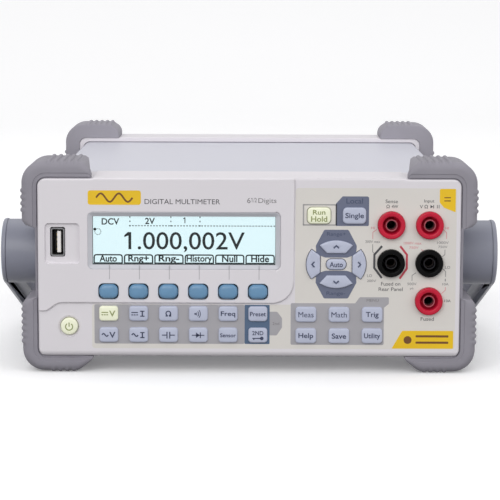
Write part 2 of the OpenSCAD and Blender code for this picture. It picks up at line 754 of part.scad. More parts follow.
module handle_frame() {
    color("slategray") {
        both_sides() difference() {
            union() {
                across(handle_x - arm_skin, handle_x) arm_outline();
                across(arm_inner_x, handle_x - arm_skin + eps) difference() {
                    arm_outline(4.4);
                    translate([hub_y, hub_z]) circle(hub_r - 3);
                }
                rod_x(hub_y, hub_z, drum_r, drum_x, handle_x - arm_skin + eps);
            }
            // Hollow drum around the hub's bore
            difference() {
                rod_x(hub_y, hub_z, drum_r - 2.3, drum_x - 1, handle_x - arm_skin);
                rod_x(hub_y, hub_z, axle_r + 3, drum_x - 2, handle_x);
            }
            rod_x(hub_y, hub_z, axle_r + axle_gap, drum_x - 1, pivot_tip_x + 0.4);
            // Detent pips pass in front of the hub's boss
            rod_x(hub_y, hub_z, axle_r + 4, drum_x - 1, drum_x + 0.8);
        }
        across(-handle_x + arm_skin - eps, handle_x - arm_skin + eps) {
            translate([arm_end_y - bar_w / 2 + bar_r, bar_z - bar_r]) square([bar_w - 2 * bar_r, 2 * bar_r]);
            for (s = [-1, 1]) translate([arm_end_y + s * (bar_w / 2 - bar_r), bar_z]) circle(bar_r);
        }
    }
}

front_bezel();
panel_overlay();
display_window();
lcd_module();
keypad_mat();
keyboard_pcb();
jack_panel();
red_jack_collars();
black_jack_collars();
jack_contacts();
usb_host_port();
case_cover();
chassis_tray();
rear_bezel();
rear_panel();
front_bumper_left();
front_bumper_right();
rear_bumper_left();
rear_bumper_right();
main_pcb();
power_transformer();
power_inlet();
rear_connectors();
case_screws();
handle_pivots();
handle_frame();
power_rocker();
input_fuse_cap();
for (k = KEYS)
    key_cap(k);
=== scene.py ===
"""Looks of the half-rack bench multimeter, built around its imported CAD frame.

Metres, +X right, +Y to the rear, +Z up. Outlines are drawn in millimetres in X and Z and are
scaled when a mesh is made. Every piece rides on a CAD body, so it moves as the body does.
"""
import json
import math

import bmesh
import bpy
from mathutils import Matrix, Vector

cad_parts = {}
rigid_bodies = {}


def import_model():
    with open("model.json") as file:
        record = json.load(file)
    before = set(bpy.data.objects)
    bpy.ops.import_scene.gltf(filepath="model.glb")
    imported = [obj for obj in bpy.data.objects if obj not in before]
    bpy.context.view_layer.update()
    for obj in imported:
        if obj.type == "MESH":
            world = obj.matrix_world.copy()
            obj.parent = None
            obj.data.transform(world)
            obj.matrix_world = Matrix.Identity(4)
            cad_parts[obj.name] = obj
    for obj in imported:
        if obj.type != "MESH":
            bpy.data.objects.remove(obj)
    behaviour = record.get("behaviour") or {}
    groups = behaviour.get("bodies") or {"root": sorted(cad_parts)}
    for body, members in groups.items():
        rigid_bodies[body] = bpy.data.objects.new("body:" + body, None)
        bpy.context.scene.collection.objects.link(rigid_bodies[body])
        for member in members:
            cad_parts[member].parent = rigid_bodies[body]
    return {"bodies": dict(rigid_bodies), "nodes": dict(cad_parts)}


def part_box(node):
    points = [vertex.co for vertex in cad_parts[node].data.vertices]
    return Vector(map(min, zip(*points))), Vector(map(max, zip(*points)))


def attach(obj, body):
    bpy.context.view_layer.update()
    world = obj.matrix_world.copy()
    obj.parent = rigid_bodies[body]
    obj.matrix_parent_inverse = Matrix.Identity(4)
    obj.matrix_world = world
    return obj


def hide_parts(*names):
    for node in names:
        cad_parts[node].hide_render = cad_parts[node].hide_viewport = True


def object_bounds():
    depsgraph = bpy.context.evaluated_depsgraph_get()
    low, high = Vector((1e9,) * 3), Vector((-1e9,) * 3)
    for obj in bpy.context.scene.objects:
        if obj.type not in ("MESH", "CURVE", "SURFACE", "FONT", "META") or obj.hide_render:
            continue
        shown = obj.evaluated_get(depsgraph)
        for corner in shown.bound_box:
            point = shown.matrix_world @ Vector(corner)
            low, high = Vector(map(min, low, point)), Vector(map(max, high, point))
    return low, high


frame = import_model()
cad_low, cad_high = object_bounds()

MM = 0.001
CHASSIS = "chassis"


# ---------- Places, read from the frame, in millimetres ----------

def place(node):
    """Lowest corner, highest corner, middle and size of a CAD node, in millimetres."""
    low, high = (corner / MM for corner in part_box(node))
    return low, high, (low + high) / 2, high - low


BEZEL_LOW, BEZEL_HIGH, BEZEL_MID, BEZEL_SIZE = place("front_bezel")
# Front of the display housing, front of the panel beside it, and back of the panel's wall
HOUSING_Y = BEZEL_LOW.y
PANEL_Y = place("panel_overlay")[0].y
WALL_BACK = PANEL_Y + 3
WINDOW_LOW, WINDOW_HIGH, WINDOW_MID, WINDOW_SIZE = place("display_window")
# Half the thickness of a layer of print
INK = 0.05
# How far the hidden rim of a key reaches past its cap
KEY_FLANGE = 0.8

KEYS = [name for name in frame["nodes"] if name + "_body" in frame["bodies"]]


def key_place(name):
    """Middle X, middle Z, width, height and front of a key's cap, without its hidden flange."""
    low, _, mid, size = place(name)
    return mid.x, mid.z, size.x - 2 * KEY_FLANGE, size.z - 2 * KEY_FLANGE, low.y


# ---------- Materials ----------

def linear(r, g, b):
    """Linear colour of an sRGB triple given as 0 to 255."""
    def part(c):
        c /= 255
        return c / 12.92 if c <= 0.04045 else ((c + 0.055) / 1.055) ** 2.4
    return part(r), part(g), part(b), 1.0


def scaled(colour, k):
    return tuple(min(1.0, c * k) for c in colour[:3]) + (1.0,)


def feed(tree, node, inputs):
    """Sets a shader node's inputs. Each is a value, or the output of another node."""
    for name, value in inputs.items():
        if isinstance(value, bpy.types.NodeSocket):
            tree.links.new(value, node.inputs[name])
        else:
            node.inputs[name].default_value = value
    return node


def new_node(tree, kind, **inputs):
    """A new shader node. An underscore stands for a space in an input's name."""
    named = {name.replace("_", " "): value for name, value in inputs.items()}
    return feed(tree, tree.nodes.new("ShaderNode" + kind), named)


def material(name, colour, roughness=0.5, vary=0.05, mottle=60, grain=2500, bump=0.08, depth=0.02,
             metallic=0.0, coat=0.0, glow=0.0, alpha=1.0, edge=0.0, brushed=False, specular=0.5):
    """Moulded, painted or metal finish: mottled colour, worn edges, uneven gloss and a fine grain."""
    made = bpy.data.materials.new(name)
    made.use_nodes = True
    tree = made.node_tree
    point = new_node(tree, "TexCoord").outputs["Object"]
    if brushed:
        point = new_node(tree, "Mapping", Scale=(1, 18, 18), Vector=point).outputs["Vector"]
    broad = new_node(tree, "TexNoise", Scale=mottle, Detail=4, Vector=point).outputs["Fac"]
    fine = new_node(tree, "TexNoise", Scale=grain, Detail=2, Vector=point).outputs["Fac"]

    shades = new_node(tree, "ValToRGB", Fac=broad)
    for element, position, tone in zip(shades.color_ramp.elements, (0.3, 0.7), (1 - vary, 1 + vary)):
        element.position = position
        element.color = scaled(colour, tone)
    paint = shades.outputs["Color"]
    if edge:
        pointed = new_node(tree, "NewGeometry").outputs["Pointiness"]
        worn = new_node(tree, "MapRange", From_Min=0.5, From_Max=0.62, To_Max=edge, Value=pointed)
        lighten = tree.nodes.new("ShaderNodeMix")
        lighten.data_type = "RGBA"
        feed(tree, lighten, {"A": paint, "B": scaled(colour, 1.5), "Factor": worn.outputs["Result"]})
        paint = lighten.outputs["Result"]

    gloss = new_node(tree, "MapRange", Value=broad, To_Min=max(0.02, roughness - 0.07),
                 To_Max=min(1.0, roughness + 0.07))
    relief = new_node(tree, "Bump", Strength=bump, Distance=depth * MM, Height=fine)
    shader = feed(tree, tree.nodes["Principled BSDF"], {
        "Base Color": paint, "Roughness": gloss.outputs["Result"], "Normal": relief.outputs["Normal"],
        "Metallic": metallic, "Coat Weight": coat, "Coat Roughness": 0.2, "Specular IOR Level": specular,
        "Alpha": alpha})
    if glow:
        feed(tree, shader, {"Emission Color": paint, "Emission Strength": glow})
    return made


BEZEL = material("bezel_plastic", linear(221, 217, 222), 0.5, 0.012, 30, 2600, 0.25, 0.03)
OVERLAY = material("overlay_print", linear(216, 212, 207), 0.42, 0.015, 45, 1800, 0.18, 0.02)
COVER = material("cover_paint", linear(202, 202, 213), 0.46, 0.014, 25, 1300, 0.3, 0.04, coat=0.12)
RUBBER = material("bumper_rubber", linear(138, 135, 144), 0.66, 0.045, 70, 2200, 0.45, 0.06, edge=0.25)
REAR_RUBBER = material("rear_bumper_rubber", linear(146, 143, 152), 0.66, 0.045, 70, 2200, 0.45, 0.06,
                       edge=0.25)
HANDLE = material("handle_plastic", linear(138, 140, 154), 0.36, 0.04, 55, 2100, 0.35, 0.04, edge=0.3)
SOFTKEY = material("softkey_plastic", linear(96, 140, 176), 0.34, 0.04, 180, 2600, 0.15, 0.02, coat=0.2)
# Darker blue for the soft keys' sides: painted shade of the gap round each key
SOFTKEY_SIDE_SHADE = material("softkey_side_painted_shade", linear(66, 92, 116), 0.4, 0.05, 180, 2600, 0.15, 0.02)
KEYCAP = material("key_plastic", linear(184, 189, 209), 0.38, 0.03, 160, 2600, 0.15, 0.02, coat=0.15)
LIT = material("lit_key", linear(238, 240, 214), 0.36, 0.03, 160, 2600, 0.12, 0.02, coat=0.15, glow=0.05)
RED = material("red_jack", linear(190, 14, 50), 0.36, 0.05, 150, 2200, 0.18, 0.02, specular=0.3)
# The red jack's bore glows faintly: painted light, as it is no lamp
RED_BORE_PAINTED_GLOW = material("red_jack_bore_painted_glow", linear(190, 22, 54), 0.42, 0.08, 150, 2200, 0.18, 0.02, glow=0.16)
PALE_RED = material("red_jack_sleeve", linear(168, 78, 90), 0.4, 0.06, 150, 2200, 0.18, 0.02)
BLACK = material("black_jack", linear(4, 4, 5), 0.32, 0.15, 150, 2200, 0.2, 0.02, specular=0.08)
# Black of the black jack's bore, also used as painted shade inside the memory port
BLACK_BORE_AND_PAINTED_SHADE = material("black_jack_bore", linear(9, 9, 10), 0.5, 0.2, 150, 2200, 0.2, 0.02)
PALE_BLACK = material("black_jack_sleeve", linear(34, 33, 36), 0.4, 0.1, 150, 2200, 0.2, 0.02, specular=0.15)
# Dark tone of the jack contacts, which are bright plated metal: painted shade of the deep bore
CONTACT_PAINTED_SHADE = material("jack_contact", linear(52, 44, 42), 0.5, 0.1, 150, 1500, 0.1, 0.01, metallic=0.8)
SHELL = material("port_shell", linear(128, 128, 130), 0.3, 0.05, 120, 1500, 0.1, 0.01, metallic=1.0)
DARK_PLASTIC = material("connector_black", linear(28, 28, 30), 0.45, 0.15, 120, 2200, 0.3, 0.03)
STEEL = material("sheet_steel", linear(176, 178, 182), 0.34, 0.06, 90, 900, 0.15, 0.02, metallic=1.0,
                 brushed=True)
NICKEL = material("nickel_plate", linear(202, 202, 204), 0.24, 0.05, 120, 1500, 0.1, 0.01, metallic=1.0)
GOLD = material("gold_plate", linear(214, 178, 96), 0.28, 0.06, 200, 1500, 0.1, 0.01, metallic=1.0)
BOARD = material("circuit_board", linear(24, 88, 52), 0.45, 0.25, 260, 900, 0.3, 0.05, coat=0.3)
MAT = material("keypad_rubber", linear(120, 120, 124), 0.7, 0.06, 120, 1800, 0.3, 0.03)
CORE = material("transformer_core", linear(70, 66, 64), 0.5, 0.15, 200, 1200, 0.4, 0.05)
REAR_PAINT = material("rear_paint", linear(188, 188, 194), 0.5, 0.02, 40, 1300, 0.3, 0.04)
BLUE_PLASTIC = material("bus_insert", linear(36, 58, 112), 0.42, 0.1, 150, 2000, 0.2, 0.02)
WHITE_TONGUE = material("port_tongue", linear(236, 232, 230), 0.35, 0.03, 300, 2200, 0.1, 0.02)
GLASS = material("clear_window", linear(214, 232, 236), 0.08, 0.02, 20, 600, 0.02, 0.01, alpha=0.025,
                 specular=0.12)


# ---------- Outlines, counter-clockwise lists of (x, z) ----------

def arc(x, z, r, start, end, steps):
    """Points of an arc, angles in degrees."""
    turns = [math.radians(start + (end - start) * i / steps) for i in range(steps + 1)]
    return [(x + r * math.cos(a), z + r * math.sin(a)) for a in turns]


def quarter(steps):
    """Angles of a quarter turn in even steps, in radians."""
    return [math.pi / 2 * k / steps for k in range(steps + 1)]


def disc(x, z, r, steps=40):
    return arc(x, z, r, 0, 360 - 360 / steps, steps - 1)


def box_outline(x0, z0, x1, z1, r=0.0, steps=6):
    """Rectangle between two corners, with round corners if r is given."""
    if r <= 0:
        return [(x0, z0), (x1, z0), (x1, z1), (x0, z1)]
    return (arc(x0 + r, z0 + r, r, 180, 270, steps) + arc(x1 - r, z0 + r, r, 270, 360, steps)
            + arc(x1 - r, z1 - r, r, 0, 90, steps) + arc(x0 + r, z1 - r, r, 90, 180, steps))


def pad(x, z, w, h, r=0.0, steps=6):
    return box_outline(x - w / 2, z - h / 2, x + w / 2, z + h / 2, r, steps)


def rounded(corners, radius, steps=5):
    """A polygon with each corner turned into an arc; radius is one number or one per corner."""
    radii = radius if isinstance(radius, (list, tuple)) else [radius] * len(corners)
    points = []
    for i, corner in enumerate(corners):
        here = Vector(corner)
        back = Vector(corners[i - 1]) - here
        ahead = Vector(corners[(i + 1) % len(corners)]) - here
        half = back.angle(ahead) / 2
        reach = min(radii[i] / math.tan(half), back.length * 0.49, ahead.length * 0.49) if radii[i] else 0
        if reach < 1e-6:
            points.append(tuple(here))
            continue
        a, b = here + back.normalized() * reach, here + ahead.normalized() * reach
        for k in range(steps + 1):
            t = k / steps
            points.append(tuple((1 - t) ** 2 * a + 2 * t * (1 - t) * here + t * t * b))
    return points


def normals(points, closed=True):
    """Outward mitred normals of a counter-clockwise outline, or of a path with its outside at the right."""
    out = []
    last = len(points) - 1
    for i, p in enumerate(points):
        before = points[i - 1] if closed or i > 0 else None
        after = points[(i + 1) % len(points)] if closed or i < last else None
        sides = []
        for a, b in ((before, p), (p, after)):
            if a is None or b is None:
                continue
            d = Vector(b) - Vector(a)
            if d.length > 1e-9:
                sides.append(Vector((d.y, -d.x)).normalized())
        n = sum(sides, Vector((0, 0)))
        n.normalize()
        out.append(n / max(0.35, n.dot(sides[0])))
    return out


def inset(points, d):
    """The outline drawn in by d, or grown where d is negative."""
    return [(p[0] - n.x * d, p[1] - n.y * d) for p, n in zip(points, normals(points))]


def moved(points, x=0.0, z=0.0, turn=0.0):
    """The outline turned by turn degrees about the origin and then moved."""
    c, s = math.cos(math.radians(turn)), math.sin(math.radians(turn))
    return [(x + p[0] * c - p[1] * s, z + p[0] * s + p[1] * c) for p in points]


# ---------- Mesh making ----------

def glyphs(text, weight=0.0):
    """Points and faces of a line of lettering one unit deep."""
    curve = bpy.data.curves.new("lettering", "FONT")
    curve.body = text
    curve.size = 10
    curve.extrude = 0.5
    curve.offset = 0 if "M" in text else weight
    curve.resolution_u = 4
    holder = bpy.data.objects.new("lettering", curve)
    bpy.context.scene.collection.objects.link(holder)
    bpy.context.view_layer.update()
    ready = holder.evaluated_get(bpy.context.evaluated_depsgraph_get())
    mesh = ready.to_mesh()
    points = [v.co.copy() for v in mesh.vertices]
    faces = [list(p.vertices) for p in mesh.polygons]
    ready.to_mesh_clear()
    bpy.data.objects.remove(holder)
    bpy.data.curves.remove(curve)
    return points, faces


class Maker:
    """Collects closed shapes, then makes one piece of them."""

    def __init__(self):
        self.bm = bmesh.new()
        self.finishes = []

    def index(self, finish):
        if finish not in self.finishes:
            self.finishes.append(finish)
        return self.finishes.index(finish)

    def add(self, points, faces, finish):
        """Adds points in millimetres and the faces between them."""
        number = self.index(finish)
        verts = [self.bm.verts.new(Vector(p) * MM) for p in points]
        for f in faces:
            try:
                face = self.bm.faces.new([verts[i] for i in f])
            except ValueError:
                continue
            face.material_index = number
            face.smooth = True

    def rings(self, rings, finish, caps=True):
        """Skin through rings of as many points each. It has flat caps at its ends, or without caps its
        last ring joins its first."""
        n, count = len(rings[0]), len(rings)
        points = [p for ring in rings for p in ring]
        faces = []
        for r in range(count - 1 if caps else count):
            ahead = (r + 1) % count
            for i in range(n):
                j = (i + 1) % n
                faces.append((r * n + i, r * n + j, ahead * n + j, ahead * n + i))
        if caps:
            faces.append(tuple(range(n - 1, -1, -1)))
            faces.append(tuple((count - 1) * n + i for i in range(n)))
        self.add(points, faces, finish)

    def loft(self, outline, levels, finish):
        """A closed solid through (inset, y) levels of one outline, from the back to the front."""
        self.rings([[(x, y, z) for x, z in inset(outline, d)] for d, y in levels], finish)

    def prism(self, outline, front, back, finish):
        self.loft(outline, [(0, back), (0, front)], finish)

    def dome(self, outline, levels, rise, finish, rounds=3):
        """A loft whose front swells by rise towards the middle."""
        rings = [[(x, y, z) for x, z in inset(outline, d)] for d, y in levels]
        top = rings[-1]
        cx = sum(p[0] for p in top) / len(top)
        cz = sum(p[2] for p in top) / len(top)
        for k in range(1, rounds + 1):
            share = 1 - k / (rounds + 1)
            rings.append([(cx + (p[0] - cx) * share, p[1] - rise * (1 - share * share),
                           cz + (p[2] - cz) * share) for p in top])
        self.rings(rings, finish)

    def frame_of(self, outer, inner, levels, finish):
        """A closed ring between two outlines of as many points: levels are (share, y) round its section."""
        rows = [[(a[0] + (b[0] - a[0]) * s, y, a[1] + (b[1] - a[1]) * s) for a, b in zip(outer, inner)]
                for s, y in levels]
        self.rings(rows, finish, caps=False)

    def band(self, outline, width, front, back, finish):
        """A flat band inside an outline."""
        self.frame_of(outline, inset(outline, width), [(0, back), (0, front), (1, front), (1, back)], finish)

    def lathe(self, x, z, profile, finish, steps=48):
        """Turns a closed (radius, y) profile about the line through x and z along Y."""
        turns = [2 * math.pi * k / steps for k in range(steps)]
        rings = [[(x + r * math.cos(a), y, z + r * math.sin(a)) for r, y in profile] for a in turns]
        self.rings(rings, finish, caps=False)

    def stroke(self, path, width, front, finish, back=None):
        """A line of even width along a path of (x, z) points."""
        side = normals(path, closed=False)
        right = [(p[0] + n.x * width / 2, p[1] + n.y * width / 2) for p, n in zip(path, side)]
        left = [(p[0] - n.x * width / 2, p[1] - n.y * width / 2) for p, n in zip(path, side)]
        self.prism(right + left[::-1], front, front + 2 * INK if back is None else back, finish)

    def text(self, words, x, z, w, h, front, finish, weight=0.0):
        """Lettering fitted to a width and a height about a centre."""
        points, faces = glyphs(words, weight)
        low = [min(p[i] for p in points) for i in (0, 1)]
        high = [max(p[i] for p in points) for i in (0, 1)]
        sx = w / (high[0] - low[0])
        sz = h / (high[1] - low[1])
        out = [(x + (p.x - (low[0] + high[0]) / 2) * sx,
                front + (0.5 - p.z) * 2 * INK,
                z + (p.y - (low[1] + high[1]) / 2) * sz) for p in points]
        self.add(out, faces, finish)

    def make(self, name, body=CHASSIS, stands_for=(), angle=32):
        """Ends the piece: cleans it, names it, and lets it ride on its body."""
        bmesh.ops.remove_doubles(self.bm, verts=self.bm.verts, dist=1e-7)
        bmesh.ops.recalc_face_normals(self.bm, faces=self.bm.faces)
        mesh = bpy.data.meshes.new(name)
        self.bm.to_mesh(mesh)
        self.bm.free()
        mesh.set_sharp_from_angle(angle=math.radians(angle))
        for finish in self.finishes:
            mesh.materials.append(finish)
        piece = bpy.data.objects.new(name, mesh)
        bpy.context.scene.collection.objects.link(piece)
        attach(piece, body)
        if stands_for:
            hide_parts(*stands_for)
        return piece


def dress(node, finish):
    """Gives a CAD node that stays its finish."""
    mesh = frame["nodes"][node].data
    mesh.materials.clear()
    mesh.materials.append(finish)


# Two faces that meet at more than this angle, in degrees, make a corner that is eased
CORNER_ANGLE = 28


def refine(node, finish, name, width, rounds=(), segments=2, body=CHASSIS, parts=None,
           sharp_at=None, after=None):
    """A copy of a CAD node with eased edges. rounds are (test of an edge, width) for the larger radii,
    sharp_at is a test of an edge left sharp, parts picks the rule a loose part is painted by, and after
    is a last change of the mesh."""
    maker = Maker()
    bm = maker.bm
    bm.from_mesh(frame["nodes"][node].data)
    bmesh.ops.remove_doubles(bm, verts=bm.verts, dist=2e-6)
    bmesh.ops.dissolve_limit(bm, angle_limit=math.radians(0.4), verts=bm.verts, edges=bm.edges)
    for face in bm.faces:
        face.material_index = maker.index(finish)
        face.smooth = True
    if parts:
        paint_parts(maker, parts)

    def corners():
        return [e for e in bm.edges if len(e.link_faces) == 2
                and e.calc_face_angle(0) > math.radians(CORNER_ANGLE)]

    for test, radius in rounds:
        chosen = [e for e in corners() if test(e.verts[0].co / MM, e.verts[1].co / MM)]
        bmesh.ops.bevel(bm, geom=chosen, offset=radius * MM, segments=4, profile=0.5, affect="EDGES",
                        clamp_overlap=False)
    chosen = [e for e in corners() if not (sharp_at and sharp_at(e.verts[0].co / MM, e.verts[1].co / MM))]
    bmesh.ops.bevel(bm, geom=chosen, offset=width * MM, segments=segments, profile=0.5, affect="EDGES",
                    clamp_overlap=False)
    if after:
        after(bm)
    piece = maker.make(name, body, (node,))
    even = piece.modifiers.new("even_shading", "WEIGHTED_NORMAL")
    even.keep_sharp = True
    return piece


def paint_parts(maker, rule_for):
    """Paints each loose part of a mesh. rule_for(middle, size) gives its rule, and the rule gives a
    finish from a face's middle, measured from the part's middle, and the face's normal."""
    left = set(maker.bm.faces)
    while left:
        part, edge = [], [left.pop()]
        while edge:
            face = edge.pop()
            part.append(face)
            for e in face.edges:
                for other in e.link_faces:
                    if other in left:
                        left.discard(other)
                        edge.append(other)
        points = [v.co / MM for f in part for v in f.verts]
        low = Vector([min(p[i] for p in points) for i in range(3)])
        high = Vector([max(p[i] for p in points) for i in range(3)])
        mid = (low + high) / 2
        rule = rule_for(mid, high - low)
        for face in part:
            finish = rule(face.calc_center_bounds() / MM - mid, face.normal)
            face.material_index = maker.index(finish)


def camera():
    """Camera at the viewing angle: in front, a little above, almost level."""
    distance, height = 1.1648, 0.1993
    looks_down, roll = 7.623, 0.204
    data = bpy.data.cameras.new("camera")
    data.lens = 149.18
    data.sensor_width = 36
    data.shift_x = 0.0014
    eye = bpy.data.objects.new("camera", data)
    bpy.context.scene.collection.objects.link(eye)
    eye.matrix_world = (Matrix.Translation((0, -distance, height))
                        @ Matrix.Rotation(math.radians(90 - looks_down), 4, "X")
                        @ Matrix.Rotation(math.radians(roll), 4, "Z"))
    bpy.context.scene.camera = eye


def studio():
    """Pale floor that curves up behind, white surroundings and soft lamps."""
    scene = bpy.context.scene
    scene.view_settings.view_transform = "Standard"
    world = bpy.data.worlds.new("studio")
    scene.world = world
    world.use_nodes = True
    tree = world.node_tree
    axes = new_node(tree, "SeparateXYZ", Vector=new_node(tree, "TexCoord").outputs["Generated"])
    fade = new_node(tree, "MapRange", From_Min=-0.35, From_Max=0.15, To_Min=0.1, To_Max=0.8,
                Value=axes.outputs["Z"])
    feed(tree, tree.nodes["Background"], {"Color": (1.0, 1.0, 1.0, 1.0), "Strength": fade.outputs["Result"]})

    floor = bmesh.new()
    near, reach, rise, wide, bend = -4.0, 1.6, 2.4, 5.0, 0.8
    profile = [(near, 0.0), (reach, 0.0)]
    profile += [(reach + bend * math.sin(a), bend - bend * math.cos(a)) for a in quarter(12)[1:]]
    profile.append((reach + bend, rise))
    rows = [[floor.verts.new((x, y, z)) for x in (-wide, wide)] for y, z in profile]
    for a, b in zip(rows, rows[1:]):
        floor.faces.new((a[0], a[1], b[1], b[0])).smooth = True
    mesh = bpy.data.meshes.new("floor")
    floor.to_mesh(mesh)
    floor.free()
    mesh.materials.append(material("floor_paint", linear(250, 250, 251), 0.7, 0.004, 3, 400, 0.02, 0.02,
                                   glow=0.14, specular=0.2))
    ground = bpy.data.objects.new("floor", mesh)
    scene.collection.objects.link(ground)
    ground.visible_diffuse = False
    for name, place_of, aim, size, power in (
            ("key_lamp", (-0.6, -1.9, 1.0), (0, 0, 0.05), 1.4, 16.5),
            ("fill_lamp", (1.3, -1.3, 0.6), (0, 0, 0.05), 1.2, 5),
            ("top_lamp", (0, 0.8, 1.7), (0, 0, 0), 1.6, 4.5)):
        data = bpy.data.lights.new(name, "AREA")
        data.size = size
        data.energy = power
        lamp = bpy.data.objects.new(name, data)
        scene.collection.objects.link(lamp)
        lamp.location = place_of
        lamp.rotation_euler = (Vector(aim) - Vector(place_of)).to_track_quat("-Z", "Y").to_euler()


camera()
studio()


def ink_finish(name, colour, roughness=0.5, vary=0.05):
    """Finish of fine print."""
    return material(name, colour, roughness, vary, 300, 2200, 0.1, 0.01)


def field_paint(name, colour, vary=0.03):
    """Finish of a printed field."""
    return material(name, colour, 0.46, vary, 60, 1900, 0.15, 0.02)


INK_DARK = ink_finish("print_dark", linear(62, 62, 66), vary=0.06)
INK_GREY = ink_finish("print_grey", linear(122, 120, 122))
INK_KEY = ink_finish("print_key", linear(50, 56, 84))
INK_LIT = ink_finish("print_lit_key", linear(142, 150, 96))
INK_RED = ink_finish("print_red", linear(184, 58, 74), 0.48)
INK_PINK = ink_finish("print_fine_red", linear(206, 132, 138), 0.48)
INK_NAVY = ink_finish("print_navy", linear(62, 70, 96))
FIELD_GREY = field_paint("print_key_field", linear(163, 161, 166), 0.02)
FIELD_LINE = field_paint("print_frame_line", linear(158, 156, 156))
FIELD_SLATE = field_paint("print_slate", linear(97, 103, 125))
FIELD_BLUE = field_paint("print_blue_column", linear(74, 96, 124))
AMBER = material("print_amber", linear(232, 190, 12), 0.42, 0.03, 80, 1900, 0.12, 0.02)
AMBER_INK = ink_finish("print_brown", linear(104, 62, 8), 0.48)
SURROUND = material("display_surround", linear(196, 196, 203), 0.5, 0.02, 60, 2200, 0.2, 0.02)
HALO = material("softkey_halo", linear(206, 210, 220), 0.5, 0.02, 60, 2200, 0.2, 0.02)
LCD_INK = material("lcd_segment", linear(8, 11, 13), 0.6, 0.05, 400, 2400, 0.05, 0.01, specular=0.1)


def lcd_material():
    """Backlit screen: pale cyan with the fine grid of its dots."""
    made = bpy.data.materials.new("lcd_backlight")
    made.use_nodes = True
    tree = made.node_tree
    point = new_node(tree, "TexCoord").outputs["Object"]
    upright = new_node(tree, "Mapping", Rotation=(math.radians(90), 0, 0), Vector=point)
    dot_pitch = 0.36 * MM
    dots = new_node(tree, "TexBrick", Scale=1 / dot_pitch, Brick_Width=1, Row_Height=1, Mortar_Size=0.05,
                Color1=linear(222, 247, 252), Color2=linear(226, 249, 253), Mortar=linear(206, 236, 242),
                Vector=upright.outputs["Vector"])
    dots.offset = 0
    cloud = new_node(tree, "TexNoise", Scale=18, Vector=point)
    spread = new_node(tree, "MapRange", To_Min=0.25, To_Max=0.4, Value=cloud.outputs["Fac"])
    feed(tree, tree.nodes["Principled BSDF"], {
        "Roughness": spread.outputs["Result"], "Base Color": linear(70, 80, 84),
        "Emission Color": dots.outputs["Color"], "Emission Strength": 0.93})
    return made


LCD = lcd_material()


# ---------- Front ----------

def front_bezel():
    """The moulded front, with broad round edges all round its face and finer ones at its openings."""
    mid, half = BEZEL_MID, BEZEL_SIZE / 2

    def rim(a, b):
        """Edges of the front face that lie on the outer outline."""
        for p in (a, b):
            outside = abs(p.x) > half.x - 4.1 or abs(p.z - mid.z) > half.z - 5.3
            if p.y > PANEL_Y + 0.05 or not outside:
                return False
            near = max(abs(p.x) - half.x, abs(p.z - mid.z) - half.z)
            if near < -1.25:
                return False
        return abs(a.y - b.y) < 0.01

    key_x, key_z, key_w, key_h, _ = key_place("softkey_6")

    def step(a, b):
        """Edges where the display housing stands out from the panel."""
        return all(p.y < HOUSING_Y + 0.05 and abs(p.x) < half.x - 4.2
                   and (p.x > key_x + key_w / 2 + 1.4 or p.z < key_z - key_h / 2 - 1.5) for p in (a, b))

    def recess(a, b):
        """The edge of the overlay's recess, which stays crisp."""
        return all(abs(p.y - PANEL_Y) < 0.05 for p in (a, b)) and not rim(a, b)

    def foot(bm):
        """Rolls the bottom of the face back in a wide curve."""
        radius = 3.5
        for height in (0.25, 0.55, 0.9, 1.3, 1.8, 2.3, 2.9, 3.5):
            bmesh.ops.bisect_plane(bm, geom=bm.verts[:] + bm.edges[:] + bm.faces[:], dist=1e-8,
                                   plane_co=(0, 0, (BEZEL_LOW.z + height) * MM), plane_no=(0, 0, 1))
        for v in bm.verts:
            drop = radius - (v.co.z / MM - BEZEL_LOW.z)
            if drop > 0 and v.co.y / MM < PANEL_Y + 0.95:
                v.co.y += (radius - math.sqrt(max(0.0, radius * radius - drop * drop))) * MM

    refine("front_bezel", BEZEL, "front_bezel_moulding", 0.25,
           rounds=[(rim, 0.9), (step, 0.8)], sharp_at=recess, after=foot)


def flag(maker, x, z, tall, front, finish):
    """The short slanted stroke of a figure one, from the top of its stem, whose left side is at x."""
    maker.prism([(x + 0.02 * tall, z - 0.2 * tall), (x + 0.02 * tall, z), (x - 0.02 * tall, z),
                 (x - 0.24 * tall, z - 0.2 * tall), (x - 0.24 * tall, z - 0.31 * tall)],
                front, front + 2 * INK, finish)


